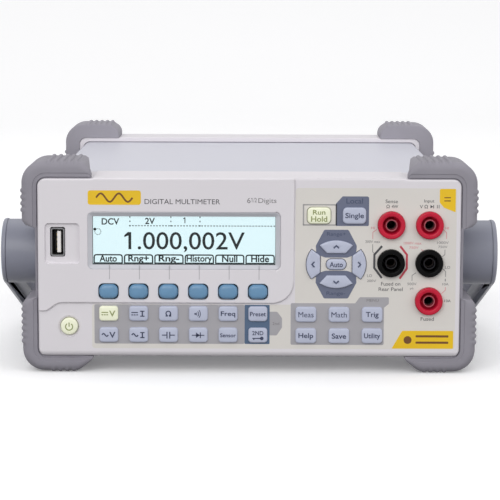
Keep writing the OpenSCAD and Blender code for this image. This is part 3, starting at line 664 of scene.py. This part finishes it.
def display():
    """Screen, its sloping surround, and what the screen shows."""
    edge = 4.3
    cx, cz = WINDOW_MID.x, WINDOW_MID.z
    w, h = WINDOW_SIZE.x - 2 * edge, WINDOW_SIZE.z - 2 * edge
    left, right, low, high = cx - w / 2, cx + w / 2, cz - h / 2, cz + h / 2
    glass_back = WINDOW_HIGH.y

    slope = Maker()
    outer = pad(cx, cz, w + 4.7, h + 4.7, 2.4, 5)
    inner = pad(cx, cz, w + 0.2, h + 0.2, 0.4, 5)
    slope.frame_of(outer, inner, [(0, HOUSING_Y + 0.25), (0.12, HOUSING_Y + 0.2), (1, WINDOW_LOW.y - 0.02),
                                  (0, WINDOW_LOW.y - 0.02)], SURROUND)
    slope.make("display_surround")

    screen = Maker()
    face = glass_back + 0.22
    screen.prism(pad(cx, cz, w - 0.1, h - 0.1, 0.4), face, face + 0.2, LCD)
    screen.make("lcd_screen")

    shown = Maker()
    front = face - INK

    def dots(x0, z0, x1, z1, pitch=1.48, long=0.78, thick=0.5):
        wide, tall = (long, thick) if z0 == z1 else (thick, long)
        count = int(max(abs(x1 - x0), abs(z1 - z0)) / pitch)
        for i in range(count + 1):
            t = i / count
            shown.prism(pad(x0 + (x1 - x0) * t, z0 + (z1 - z0) * t, wide, tall), front, face + INK, LCD_INK)

    for words, x, z, wide, tall, weight in (
            ("1.000,002V", -31.3, 66.0, 58.0, 10.2, 0.05), ("DCV", -69.2, 76.3, 8.8, 3.3, 0.22),
            ("2V", -49.5, 76.6, 4.9, 3.2, 0.22), ("1", -32.1, 77.0, 0.45, 2.9, 0.0)):
        shown.text(words, x, z, wide, tall, front, LCD_INK, weight)
    for x, z, tall in ((-60.3, 71.1, 8.6), (-32.3, 78.45, 2.9)):
        flag(shown, x, z, tall, front, LCD_INK)
    rule = high - 4.8
    for x in (-59.5, -39.1, -24.6):
        dots(x, high - 0.4, x, rule)
    dots(-59.5, rule, right - 0.6, rule)
    shown.prism(disc(-77.0, 72.4, 0.75, 12), front, face + INK, LCD_INK)
    for i in range(12):
        x, z = arc(-75.5, 71.2, 1.5, i * 30, i * 30 + 1, 1)[0]
        shown.prism(pad(x, z, 0.42, 0.42), front, face + INK, LCD_INK)
    names = (("Auto", 8.7), ("Rng+", 10.3), ("Rng-", 10.3), ("History", 12.7), ("Null", 7.7), ("Hide", 9.0))
    pitch = w / 6
    for i, (words, width) in enumerate(names):
        x0 = left + i * pitch + 0.25
        x1 = left + (i + 1) * pitch - 0.25
        tab = [(x0, low + 0.08), (x1, low + 0.08), (x1, low + 4.9), (x0, low + 4.9)]
        outline = rounded(tab, [0, 0, 1.6, 1.6], 4)
        shown.band(outline, 0.68, front, face, LCD_INK)
        middle = (x0 + x1) / 2
        tall = 4.3 if words in ("Rng+", "Rng-", "History") else 3.5
        shown.text(words, middle, low + 2.75 - (tall - 3.5) / 2, width, tall, front, LCD_INK, 0.26)
    shown.make("lcd_readout")


# Turn of each arrow key from the one that points up, in degrees
FAN_TURNS = {"up_key": 0, "left_key": 90, "down_key": 180, "right_key": 270}


def key_shape(name):
    """Outline of a key's cap."""
    x, z, w, h, _ = key_place(name)
    if name == "power_button":
        return disc(x, z, w / 2, 40)
    turn = FAN_TURNS.get(name)
    if turn is None:
        radius = {"softkey": 3.1, "run_hold": 2.2, "single": 2.2, "auto": 2.6}
        r = next((v for k, v in radius.items() if name.startswith(k)), 1.7)
        return pad(x, z, w, h, min(r, h / 2 - 0.05), 6)
    wide, tall = (w, h) if turn in (0, 180) else (h, w)
    wide += 0.4
    tip = tall * 0.6
    bulge = tall - tip
    r = (wide * wide / 4 + bulge * bulge) / (2 * bulge)
    reach = math.degrees(math.asin((wide / 2 - 0.2) / r))
    top = arc(0, tall - r, r, 90 - reach, 90 + reach, 14)
    corners = [(-wide * 0.28, 0), (wide * 0.28, 0), (wide / 2 - 0.2, tip)] + top + [(0.2 - wide / 2, tip)]
    radii = [0.9, 0.9, 0.5] + [0] * len(top) + [0.5]
    foot = {0: (x, z - h / 2), 180: (x, z + h / 2), 90: (x + w / 2, z), 270: (x - w / 2, z)}[turn]
    return moved(rounded(corners, radii, 3), foot[0], foot[1], turn)


LEGENDS = {
    "measure_key": "Meas", "math_key": "Math", "trigger_key": "Trig", "help_key": "Help",
    "save_key": "Save", "utility_key": "Utility", "frequency_key": "Freq", "preset_key": "Preset",
    "sensor_key": "Sensor", "auto_key": "Auto", "single_key": "Single"}
LEGEND_SIZE = {
    "Meas": (7.6, 2.7), "Math": (7.7, 2.7), "Trig": (6.4, 3.4), "Help": (7.4, 3.3), "Save": (7.2, 2.7),
    "Utility": (8.0, 3.3), "Freq": (7.2, 3.1), "Preset": (7.9, 2.2), "Sensor": (7.9, 2.0),
    "Auto": (6.6, 2.6), "Single": (9.2, 3.4)}
LIT_KEYS = ("power_button", "dc_volts_key", "run_hold_key")


def legend(name, maker, ink):
    """Draws what is printed on a key."""
    x, z, _, _, face = key_place(name)
    front, back = face - 0.03, face + 0.3
    fan = FAN_TURNS.get(name)

    def stroke(path, width=0.6):
        maker.stroke([(x + px, z + pz) for px, pz in path], width, front, ink, back)

    def shape(outline):
        maker.prism(moved(outline, x, z), front, back, ink)

    def block(px, pz, pw, ph):
        shape(pad(px, pz, pw, ph))

    def words(text, px, pz, pw, ph):
        maker.text(text, x + px, z + pz, pw, ph, front, ink, 0.17)

    if name in LEGENDS:
        text = LEGENDS[name]
        words(text, 0, -0.2 if text in ("Trig", "Help", "Utility", "Freq", "Single") else 0,
              *LEGEND_SIZE[text])
    elif name == "power_button":
        stroke(arc(0, -0.1, 1.75, 125, 415, 22), 0.5)
        block(0, 0.95, 0.5, 2.1)
    elif "volts" in name or "current" in name:
        if name.startswith("dc"):
            block(-1.9, 0.6, 3.3, 0.5)
            for i in range(3):
                block(-3.1 + i * 1.2, -0.6, 0.9, 0.5)
        else:
            stroke([(-3.4 + 3.2 * i / 12, 0.7 * math.sin(2 * math.pi * i / 12)) for i in range(13)])
        if "volts" in name:
            words("V", 1.8, 0, 3.1, 3.0)
        else:
            for dz, wide, tall in ((0, 0.65, 2.9), (1.25, 2.2, 0.5), (-1.25, 2.2, 0.5)):
                block(1.9, dz, wide, tall)
    elif name == "ohms_key":
        bowl = arc(0, 0.15, 1.15, 242, -62, 18)
        stroke([(-1.4, -1.1), (-0.55, -1.1)] + bowl + [(0.55, -1.1), (1.4, -1.1)])
    elif name == "continuity_key":
        shape(disc(-1.5, 0, 0.45, 12))
        for r in (1.0, 1.9, 2.8):
            stroke(arc(-1.7, 0, r, -42, 42, 8), 0.36)
    elif name == "capacitance_key":
        for px, wide, tall in ((-2.0, 2.4, 0.5), (2.0, 2.4, 0.5), (-0.7, 0.55, 3.4), (0.7, 0.55, 3.4)):
            block(px, 0, wide, tall)
    elif name == "diode_key":
        block(0, 0, 6.2, 0.45)
        shape([(-1.1, -1.4), (0.9, 0), (-1.1, 1.4)])
        block(1.05, 0, 0.5, 2.9)
    elif name == "second_key":
        words("2ND", 0, 1.2, 5.6, 2.1)
        block(-0.6, -1.5, 4.2, 0.5)
        block(-2.0, -1.9, 0.6, 0.7)
        shape(disc(2.0, -1.5, 0.9, 14))
    elif name == "run_hold_key":
        words("Run", 0, 1.75, 6.2, 2.4)
        words("Hold", 0, -1.6, 8.0, 2.7)
    elif fan is not None:
        stroke(moved([(-0.6, -1.35), (0.65, 0), (-0.6, 1.35)], turn=fan + 90), 0.75)


def keys():
    """Caps with eased, slightly crowned faces; all but the soft keys get their own print."""
    rounding, crown, thick = 0.75, 0.16, 0.8
    for name in KEYS:
        soft = name.startswith("softkey")
        lit = name in LIT_KEYS
        finish = LIT if lit else SOFTKEY if soft else KEYCAP
        x, z, _, _, face = key_place(name)
        fan = name in FAN_TURNS
        r = 0.6 if fan else 1.7 if soft else rounding
        edge = face + crown
        levels = [(-KEY_FLANGE, WALL_BACK + thick), (-KEY_FLANGE, WALL_BACK), (0, WALL_BACK), (0, edge + r)]
        levels += [(r - r * math.cos(a), edge + r - r * math.sin(a)) for a in quarter(4)[1:]]
        cap = Maker()
        cap.dome(key_shape(name), levels, crown, finish)
        # A soft key's sides, behind its rounded edge, get a darker blue: painted shade of the gap round the
        # key
        if soft:
            dark = cap.index(SOFTKEY_SIDE_SHADE)
            for side in cap.bm.faces:
                if side.calc_center_median().y / MM > edge + 0.9 * r:
                    side.material_index = dark
        stem = pad(x, z, 4, 3, 0.8, 3)
        cap.prism(stem, WALL_BACK + thick - 0.05, WALL_BACK + thick + 1.2, finish)
        cap.make(name + "_cap", name + "_body", (name,))
        if not soft:
            mark = Maker()
            legend(name, mark, INK_LIT if lit else INK_NAVY if fan else INK_KEY)
            mark.make(name + "_print", name + "_body")


def usb_port():
    """Upright memory port: folded shell, pale tongue, and a black lining over the shell's inner walls that
    paints the cavity's shade.
    """
    low, high, mid, size = place("usb_host_port")
    port = Maker()
    outer = pad(mid.x, mid.z, size.x, size.z, 1.5, 4)
    inner = pad(mid.x, mid.z, size.x - 1.5, size.z - 1.7, 0.5, 4)
    front, back = low.y, high.y
    port.frame_of(outer, inner, [(0, back), (0, front + 0.25), (0.3, front), (0.7, front), (1, front + 0.25),
                                 (1, back)], SHELL)
    port.prism(inset(inner, -0.1), back - 2.4, back - 0.1, DARK_PLASTIC)
    # Black lining over the shell's inner walls: painted shade of the cavity
    port.band(inner, 0.2, front + 0.9, back - 2.3, BLACK_BORE_AND_PAINTED_SHADE)
    tongue = pad(mid.x + 0.7, mid.z, 1.9, size.z - 3.7, 0.3, 3)
    port.loft(tongue, [(0, back - 2.3), (0, front + 0.7), (0.3, front + 0.45)], WHITE_TONGUE)
    for i in range(4):
        port.prism(pad(mid.x - 0.32, mid.z - 3.6 + i * 2.4, 0.16, 1.1), front + 1.2, front + 8, GOLD)
    port.make("usb_host_socket", stands_for=("usb_host_port",))


def jacks():
    """Shrouded jacks: glossy collar, bore and a paler sleeve round the contact; the black bore is dark, and
    the red one has a faint painted glow.
    """
    collar_r, bore_r, sleeve_r, contact_r, flange = 6.9, 4.4, 3.0, 2.45, 0.7
    front = cad_low.y / MM
    for node, finishes in (("red_jack_collars", (RED, RED_BORE_PAINTED_GLOW, PALE_RED)),
                           ("black_jack_collars", (BLACK, BLACK_BORE_AND_PAINTED_SHADE, PALE_BLACK))):
        low, high = place(node)[:2]
        left, right = low.x + collar_r + flange, high.x - collar_r - flange
        bottom, top = low.z + collar_r + flange, high.z - collar_r - flange
        spots = [(left, top), (right, top)] + ([(right, bottom)] if node.startswith("red") else [])
        back = high.y
        collars = Maker()
        for x, z in spots:
            wall, nose = WALL_BACK, 0.75
            lip = [(bore_r + nose - nose * math.cos(a), front + 0.15 + nose - nose * math.sin(a))
                   for a in quarter(4)]
            brow = [(collar_r - nose + nose * math.sin(a), front + nose - nose * math.cos(a))
                    for a in quarter(4)]
            collars.lathe(x, z, [(bore_r, wall)] + lip + brow
                          + [(collar_r, wall), (collar_r + flange, wall), (collar_r + flange, wall + 1.6),
                             (bore_r, wall + 1.6)], finishes[0])
            # The bore; on the red jack its finish carries a faint painted glow
            collars.lathe(x, z, [(bore_r - 0.02, front + 1.3), (bore_r + 0.4, front + 1.3),
                                 (bore_r + 0.4, wall + 1.5), (collar_r - 0.6, wall + 1.5),
                                 (collar_r - 0.6, back), (contact_r, back), (contact_r, back - 4),
                                 (bore_r - 0.02, back - 4)], finishes[1])
            tip = front + 1.2
            collars.lathe(x, z, [(contact_r, tip + 0.1), (contact_r + 0.15, tip), (sleeve_r - 0.2, tip),
                                 (sleeve_r, tip + 0.2), (sleeve_r, back - 3.9), (contact_r, back - 3.9)],
                          finishes[2])
        collars.make(node.replace("collars", "shrouds"), stands_for=(node,))


# ---------- Print on the front ----------

def panel_print():
    """Coloured fields and legends printed on the overlay and the housing."""
    fields = Maker()
    front, back = PANEL_Y - 0.03, PANEL_Y + 0.1

    def field(outline, finish, lift=0.0):
        fields.prism(outline, front - lift, back, finish)

    k = {name: key_place(name) for name in KEYS}
    rows = (k["dc_volts_key"][1], k["ac_volts_key"][1])
    x_first, x_last = k["ac_volts_key"][0], k["second_key"][0]
    low_edge = rows[1] - 4.6
    field(box_outline(x_first - 7.2, low_edge, x_last - 6.6, 34.85, 0.8), FIELD_GREY)
    field(box_outline(x_last - 6.6, low_edge, x_last + 5.9, 34.85, 0.4), FIELD_BLUE)
    field(rounded([(x_last + 5.9, 19.4), (x_last + 9.4, 19.4), (x_last + 12.1, 23.4), (x_last + 12.1, 28.2),
                   (x_last + 9.6, 31.4), (x_last + 5.9, 31.4)], [0, 1, 1.6, 1.6, 1, 0]), FIELD_GREY)
    menu_left, menu_right = k["help_key"][0] - 7.6, k["utility_key"][0] + 5.9
    field(rounded([(menu_left, 14.7), (menu_right, 14.7), (menu_right, 33.6), (menu_right + 2.4, 35.6),
                   (menu_right + 2.4, 38.9), (menu_right - 12.2, 38.9), (menu_right - 14.4, 35.8),
                   (menu_left, 35.8)], [0.8, 0.8, 0.6, 0.6, 0.8, 0.8, 0.8, 0.8]), FIELD_GREY)
    nav_x, nav_z = k["auto_key"][0], k["auto_key"][1]
    for side in (1, -1):
        hood = [(-9.9, 4.9), (-5.4, 3.3), (5.4, 3.3), (9.9, 4.9), (10.2, 9.3), (6.0, 17.3), (-6.0, 17.3),
                (-10.2, 9.3)]
        points = [(nav_x + px, nav_z + side * pz) for px, pz in hood]
        field(rounded(points if side > 0 else points[::-1], 1.2), FIELD_SLATE)
    run, single = k["run_hold_key"], k["single_key"]
    seam = (run[0] + single[0]) / 2 - 0.4
    frame_line = box_outline(run[0] - 8.1, run[1] - 5.1, seam + 0.4, run[1] + 5.7, 0.3, 2)
    fields.band(frame_line, 0.7, front, back, FIELD_LINE)
    single_left, single_right = seam, single[0] + 7.2
    field(rounded([(single_left, single[1] - 5.2), (single_right, single[1] - 5.2),
                   (single_right, single[1] + 9.6), (single_left + 3.2, single[1] + 9.6),
                   (single_left, single[1] + 6.0)], [0.4, 0.8, 1.2, 0.8, 0.8]), FIELD_SLATE)
    field(rounded([(94.4, 86.6), (96.6, 84.0), (102.4, 81.7), (102.4, 93.4), (94.4, 93.4)],
                  [1.2, 0.6, 0.3, 0.5, 1.0]), AMBER)
    field(rounded([(71.4, 12.9), (102.2, 12.9), (102.2, 22.0), (76.6, 22.0)], [0.3, 0.5, 0.5, 1.2]), AMBER)
    fields.make("overlay_fields")

    words = Maker()
    lead = front - 0.03

    def mark(outline, ink=INK_DARK):
        words.prism(outline, lead, front + 0.05, ink)

    for x, z, w, h, line in (
            (single[0], single[1] + 7.3, 8.2, 2.6, "Local"), (nav_x, nav_z + 14.9, 9.4, 2.3, "Range+"),
            (nav_x, nav_z - 14.9, 9.4, 2.3, "Range-")):
        words.text(line, x, z, w, h, lead, INK_NAVY, 0.08 if line == "Local" else 0.06)
    words.text("MENU", menu_right - 5.7, 37.3, 6.0, 1.4, lead, INK_GREY, 0.06)
    words.text("2nd", x_last + 9.0, 25.4, 3.4, 1.4, lead, INK_GREY)
    sense, source = (70.6, 75.2), (89.65, 75.2)
    units_z = sense[1] + 9.3
    for x, z, w, h, line in (
            (sense[0], sense[1] + 11.9, 6.1, 1.8, "Sense"), (sense[0] + 1.6, units_z, 3.2, 1.6, "4W"),
            (source[0] - 0.4, source[1] + 11.9, 5.0, 2.0, "Input"),
            (source[0] - 4.3, units_z, 1.6, 1.6, "V")):
        words.text(line, x, z, w, h, lead, INK_DARK)
    omega = [(-0.8, -0.75), (-0.3, -0.75)] + arc(0, 0.1, 0.7, 242, -62, 10) + [(0.3, -0.75), (0.8, -0.75)]
    for x in (sense[0] - 1.8, source[0] - 1.9):
        words.stroke(moved(omega, x, units_z), 0.25, lead, INK_DARK)
    mark([(source[0] + 0.2, units_z - 0.8), (source[0] + 1.7, units_z), (source[0] + 0.2, units_z + 0.8)])
    for dx in (1.8, 3.6, 4.5):
        mark(pad(source[0] + dx, units_z, 0.3, 1.7))
    for line, x, z, w, h, ink in (
            ("HI", 61.4, 73.8, 1.7, 1.3, INK_PINK), ("HI", 98.3, 73.8, 1.7, 1.3, INK_PINK),
            ("LO", 60.0, 49.8, 2.4, 1.4, INK_GREY), ("LO", 98.9, 54.1, 2.4, 1.4, INK_GREY),
            ("I", 97.8, 47.7, 0.4, 1.3, INK_GREY), ("200V max", 61.4, 66.9, 7.4, 1.3, INK_GREY),
            ("200V", 61.0, 47.2, 4.6, 1.2, INK_GREY), ("1000V max", 81.3, 66.2, 8.8, 1.3, INK_PINK),
            ("750V", 81.9, 64.0, 4.6, 1.2, INK_PINK), ("500V", 81.2, 45.7, 4.6, 1.3, INK_GREY),
            ("pk", 81.2, 43.3, 1.8, 1.3, INK_GREY), ("1000V", 96.3, 66.5, 5.8, 1.3, INK_GREY),
            ("750V", 96.3, 64.4, 4.6, 1.2, INK_GREY), ("10A", 97.9, 45.6, 3.2, 1.2, INK_GREY),
            ("10A", 99.1, 37.2, 3.2, 1.3, INK_DARK), ("Fused on", sense[0], 45.7, 9.6, 1.8, INK_DARK),
            ("Rear Panel", sense[0], 43.0, 12.0, 1.8, INK_DARK), ("Fused", 89.1, 28.0, 6.6, 1.8, INK_DARK)):
        words.text(line, x, z, w, h, lead, ink)
    for path, width, ink in (
            ([(66.1, 64.7), (62.3, 60.4), (62.3, 53.7), (66.1, 48.6)], 1.05, INK_DARK),
            ([(75.1, 64.7), (78.5, 60.4), (78.5, 53.4), (75.0, 48.3)], 1.05, INK_RED),
            ([(63.4, 73.0), (61.4, 71.6), (61.4, 68.2)], 0.28, INK_PINK),
            ([(61.4, 65.6), (61.4, 61.8), (62.2, 60.9)], 0.28, INK_GREY),
            ([(96.4, 73.2), (98.1, 71.4), (98.1, 68.4)], 0.28, INK_PINK),
            ([(97.4, 63.0), (97.4, 60.6), (96.2, 59.4)], 0.28, INK_GREY),
            ([(85.6, 63.0), (86.6, 62.4)], 0.28, INK_PINK),
            ([(83.2, 51.4), (81.2, 50.0), (81.2, 47.3)], 0.28, INK_GREY),
            ([(96.4, 53.4), (97.9, 52.0), (97.9, 49.3)], 0.28, INK_GREY),
            ([(97.9, 44.2), (97.9, 42.6), (96.0, 40.9)], 0.28, INK_PINK)):
        words.stroke(path, width, lead, ink)
    for outline in (pad(98.3, 87.4, 3.2, 0.5), pad(98.3, 89.0, 3.2, 0.5), pad(91.6, 19.2, 16.4, 1.1, 0.3),
                    pad(91.6, 16.0, 16.4, 1.1, 0.3), disc(79.4, 17.3, 2.0, 24)):
        mark(outline, AMBER_INK)
    words.make("overlay_legends")


def housing_print():
    """Badge, title and guide lines on the display housing."""
    title = Maker()
    front, back = HOUSING_Y - 0.03, HOUSING_Y + 0.1
    lead = front - 0.03
    badge_x, badge_z = -67.0, 88.6
    title.prism(pad(badge_x, badge_z, 26.4, 7.2, 1.3), front, back, AMBER)
    wave = [(badge_x - 9 + 18 * i / 36, badge_z + 2.1 * math.sin(4 * math.pi * i / 36)) for i in range(37)]
    title.stroke(wave, 0.9, lead, AMBER_INK)
    title.text("DIGITAL MULTIMETER", -33.3, 86.7, 37.4, 2.5, lead, INK_DARK)
    title.text("6", -0.3, 87.4, 1.7, 2.6, lead, INK_GREY)
    title.text("1/2", 2.4, 87.6, 2.4, 2.2, lead, INK_GREY)
    flag(title, 1.3, 88.7, 2.0, lead, INK_GREY)
    title.text("Digits", 8.9, 87.0, 9.0, 3.1, lead, INK_GREY)
    for i in range(6):
        x, z, w, h, _ = key_place(f"softkey_{i + 1}")
        title.prism(pad(x + 0.5, z + 9.7, 0.3, 7.2), front, back, FIELD_GREY)
        title.band(pad(x, z, w + 1.5, h + 1.5, 2.9, 6), 0.4, front, back, HALO)
    title.make("housing_print")


# ---------- Case, bumpers and handle ----------

HUB = place("handle_pivots")[2]
BUMPER_R, RIB_HIGH = 11.0, 0.7
RIB_PITCH = 3.4
# The bumpers' inner side lies this far inside the bezel's outline
LAND = 0.4
# X of the ends of the upper arms and of the lower ones
FRONT_ARM, REAR_ARM, LOW_ARM = 78.8, 80.6, 78.0
# The handle's drum turns in a hollow of this radius behind a front bumper
DRUM_R = 17.9


def bumper_stations(gap):
    """Points along a right-hand bumper, bottom arm first: outer point, inner point and rib height. gap is
    true for a front bumper, which is waisted where the handle's drum passes."""
    low, high = place("rear_bumper_right")[:2]
    # The bumper's outer faces without their ribs, and the outline of the bezel inside it
    x1, z0, z1 = high.x - RIB_HIGH, low.z + RIB_HIGH, high.z - RIB_HIGH
    bx, bz0, bz1, br = BEZEL_HIGH.x, BEZEL_LOW.z + LAND, BEZEL_HIGH.z - LAND, 4.0
    turn_low, turn_high = (x1 - BUMPER_R, z0 + BUMPER_R), (x1 - BUMPER_R, z1 - BUMPER_R)
    # Distance from a rib's middle and the share of its height there
    bump = ((-1.1, 0), (-0.85, 0.55), (-0.5, 0.9), (0, 1), (0.5, 0.9), (0.85, 0.55), (1.1, 0))
    start, end = LOW_ARM, FRONT_ARM if gap else REAR_ARM
    stations = []

    def add_run(s_values, ribs, at):
        cuts = {round(s, 3): 0.0 for s in s_values}
        for c in ribs:
            for d, share in bump:
                cuts[round(c + d, 3)] = RIB_HIGH * share
        for s in sorted(cuts):
            stations.append((*at(s), cuts[s]))

    def inner_turn(share):
        """How far along and up the bezel's corner a share of the outer turn reaches."""
        run = share * (br * math.pi / 2 + turn_low[1] - bz0 - br)
        b = min(run / br, math.pi / 2)
        return br * math.sin(b), br - br * math.cos(b) + max(0.0, run - br * math.pi / 2)

    def bottom(x):
        knee, tip = z0 + 1.2, bz0 - 1.4
        z = z0
        if x < LOW_ARM + 6:
            z = knee + (LOW_ARM + 6 - x) / 6 * (tip - knee)
        elif x < LOW_ARM + 8:
            z = z0 + (LOW_ARM + 8 - x) * 0.6
        return (x, z), (min(x, bx - br), bz0)

    def low_turn(s):
        a = s / BUMPER_R
        along, up = inner_turn(s / turn_length)
        return ((turn_low[0] + BUMPER_R * math.sin(a), turn_low[1] - BUMPER_R * math.cos(a)),
                (bx - br + along, bz0 + up))

    def side(z):
        x = x1
        if gap:
            # (z, x) down the narrow stretch beside the drum
            waist = ((31, 116.5), (34.6, 114), (37, 111.5), (38.2, 106.7), (73, 106.7), (74.2, 111.5),
                     (76.6, 114), (80, 116.5))
            for (za, xa), (zb, xb) in zip(waist, waist[1:]):
                if za <= z <= zb:
                    x = min(x1, xa + (xb - xa) * (z - za) / (zb - za))
        past = max(0.0, bz0 + br - z, z - bz1 + br)
        return (x, z), (bx - br + math.sqrt(br * br - past * past), z)

    def high_turn(s):
        a = s / BUMPER_R
        along, up = inner_turn(1 - s / turn_length)
        return ((turn_high[0] + BUMPER_R * math.cos(a), turn_high[1] + BUMPER_R * math.sin(a)),
                (bx - br + along, bz1 - up))

    def top(s):
        x = turn_high[0] - s
        past = x - end
        z = z1
        if past < 5.2:
            z = z1 - (5.2 - past) * (z1 - bz1 - 6) / 3.4 if past > 1.8 else bz1 + 3.4 + past * 1.444
        return (x, z), (min(x, bx - br), bz1)

    turn_length = BUMPER_R * math.pi / 2
    add_run([start, start + 0.3, start + 0.8, start + 1.5, start + 6, start + 8, turn_low[0] - 0.4],
            [88 + RIB_PITCH * i for i in range(4)], bottom)
    turn_run = [turn_length * k / 14 for k in range(14)]
    add_run(turn_run, [], low_turn)
    pitch = RIB_PITCH / 1.05
    if gap:
        ribs = [15.5 + pitch * i for i in range(6)] + [81.75 + pitch * i for i in range(4)]
        plain = [turn_low[1], 13.0, 33.0, 34.6, 36.0, 37.0, 37.7, 38.2] + list(range(39, 73))
        plain += [73, 73.6, 74.2, 75.4, 76.6, 78.1]
    else:
        ribs = [17.9 + pitch * i for i in range(23)]
        plain = [turn_low[1], 13.0]
    add_run(plain, ribs, side)
    add_run(turn_run, [], high_turn)
    last = turn_high[0] - end
    add_run([0, last - 5.2, last - 3.6, last - 1.8, last - 1.2, last - 0.7, last - 0.3, last],
            [turn_high[0] - 86.3 - RIB_PITCH * i for i in range(5)], top)
    return stations


def bumper(node, gap):
    """Soft C-shaped bumper: a section swept along the corner, with ribs that fade out on its front edge."""
    low, high, mid = place(node)[:3]
    front, back = low.y, high.y
    side = 1 if mid.x > 0 else -1
    rings = []
    stations = bumper_stations(gap)
    ease = 1.6
    bz_top = BEZEL_HIGH.z - 1
    path = [Vector(s[0]) for s in stations]
    for i, (outer, inner, rib) in enumerate(stations):
        o, n = Vector(outer), Vector(inner)
        thick = (o - n).length
        way = (o - n) / thick
        run = min((path[i] - path[0]).length, (path[i] - path[-1]).length)
        end = 0.0
        if run < ease:
            end = ease - math.sqrt(max(0.0, ease * ease - (ease - run) ** 2))
        end *= 0.8
        near, far = front + end * 0.9, back - end * 0.9
        if gap and outer[1] > bz_top:
            far = min(far, max(near + 6, front + (outer[0] - FRONT_ARM) / 3.6 * (back - front)))
        dz = outer[1] - HUB.z
        if gap and abs(dz) < DRUM_R:
            far = min(far, HUB.y - math.sqrt(DRUM_R ** 2 - dz * dz))
        top = thick - min(end, thick * 0.5)
        r = min(3.8, 0.5 * top)
        rb = min(1.2, 0.3 * top)
        groove = min(0.6, 0.15 * top)
        depth = min(1.4, 0.25 * top)
        band = min(2.6, 0.45 * top)
        step = min(0.32, 0.1 * top)
        # From the bezel outwards: a groove, a low band, the round front edge with its rib, the rear edge
        section = [(0, near + depth), (groove, near + depth), (groove + 0.2, near + step),
                   (band, near + step), (band + step * 0.6, near)]
        for a in quarter(6):
            section.append((top - r + r * math.sin(a) + rib * math.sin(a) ** 2, near + r - r * math.cos(a)))
        for a in quarter(3):
            section.append((top - rb + rb * math.cos(a) + rib * math.cos(a), far - rb + rb * math.sin(a)))
        section.append((0, far))
        ring = []
        for d, y in section:
            p = n + way * d
            ring.append((side * p.x, y if gap else front + back - y, p.y))
        rings.append(ring)
    shape = Maker()
    shape.rings(rings, RUBBER if gap else REAR_RUBBER)
    shape.make(node + "_rubber", stands_for=(node,), angle=38)


def case():
    """Painted cover, handle and its pivots."""
    refine("case_cover", COVER, "painted_cover", 0.35)
    refine("handle_pivots", HANDLE, "handle_pivot_bosses", 0.3)

    def skin_edge(a, b):
        reach = cad_high.x / MM - 0.05
        return abs(a.x) > reach and abs(b.x) > reach

    refine("handle_frame", HANDLE, "carry_handle", 0.35, rounds=[(skin_edge, 1.5)],
           body="handle")


def rear():
    """Everything on the back."""
    refine("rear_bezel", BEZEL, "rear_bezel_moulding", 0.6)
    refine("rear_panel", REAR_PAINT, "rear_panel_sheet", 0.15, segments=1)
    refine("power_rocker", DARK_PLASTIC, "rocker_cap", 0.3, body="rocker")
    refine("input_fuse_cap", DARK_PLASTIC, "fuse_drawer", 0.3, body="fuse_cap")
    refine("case_screws", NICKEL, "case_screw_heads", 0.12)
    refine("power_inlet", DARK_PLASTIC, "mains_inlet", 0.2, parts=inlet_rule)
    refine("rear_connectors", NICKEL, "rear_sockets", 0.12, segments=1, parts=socket_rule)


def inlet_rule(mid, size):
    """Paint of the mains inlet, with bright blades, and of the switch frame."""
    def paint(at, normal):
        blades = ((-7, -1.5), (7, -1.5), (0, 2.5))
        blade = any(abs(at.x - x) < 1.1 and abs(at.z - z) < 2.1 for x, z in blades)
        inside = abs(at.y) < size.y / 2 - 2.9
        return NICKEL if blade and inside and size.x > 25 else DARK_PLASTIC
    return paint


def socket_rule(mid, size):
    """Paint of one of the sockets at the back, told apart by its size."""
    floor = place("rear_panel")[0].y - mid.y

    def paint(at, normal):
        across = math.hypot(at.x, at.z)

        def cavity(half_wide, half_high):
            inside = abs(at.x) < half_wide and abs(at.z) < half_high and at.y < size.y / 2 - 0.3
            return DARK_PLASTIC if inside else NICKEL

        inward = at.y > floor - 0.1 and normal.y > 0.9 and at.y < size.y / 2 - 1
        if size.x > 40:
            insert = abs(at.x) < 22.1 and abs(at.z) < 1.8
            return BLUE_PLASTIC if insert or inward else NICKEL
        if size.x > 17.5 and size.z < 11:
            pins = abs(at.x) < 6.3 and abs(at.z) < 2.2 and at.y > floor
            return DARK_PLASTIC if inward and at.y < floor + 0.5 else GOLD if pins else NICKEL
        if abs(size.x - 16) < 0.5 and size.z > 12:
            return cavity(6.2, 4.8)
        if abs(size.x - 12) < 0.5:
            return cavity(4.4, 4.1)
        if abs(size.x - 14) < 0.6:
            return GOLD if across < 2.5 and at.y > 0 else NICKEL
        return DARK_PLASTIC
    return paint


front_bezel()
display()
keys()
usb_port()
jacks()
panel_print()
housing_print()
for end in ("front", "rear"):
    for hand in ("left", "right"):
        bumper(f"{end}_bumper_{hand}", end == "front")
case()
rear()
for node, finish in (("panel_overlay", OVERLAY), ("display_window", GLASS), ("lcd_module", DARK_PLASTIC),
                     ("keypad_mat", MAT), ("keyboard_pcb", BOARD), ("jack_contacts", CONTACT_PAINTED_SHADE),
                     ("jack_panel", BEZEL), ("chassis_tray", STEEL), ("main_pcb", BOARD),
                     ("power_transformer", CORE)):
    dress(node, finish)
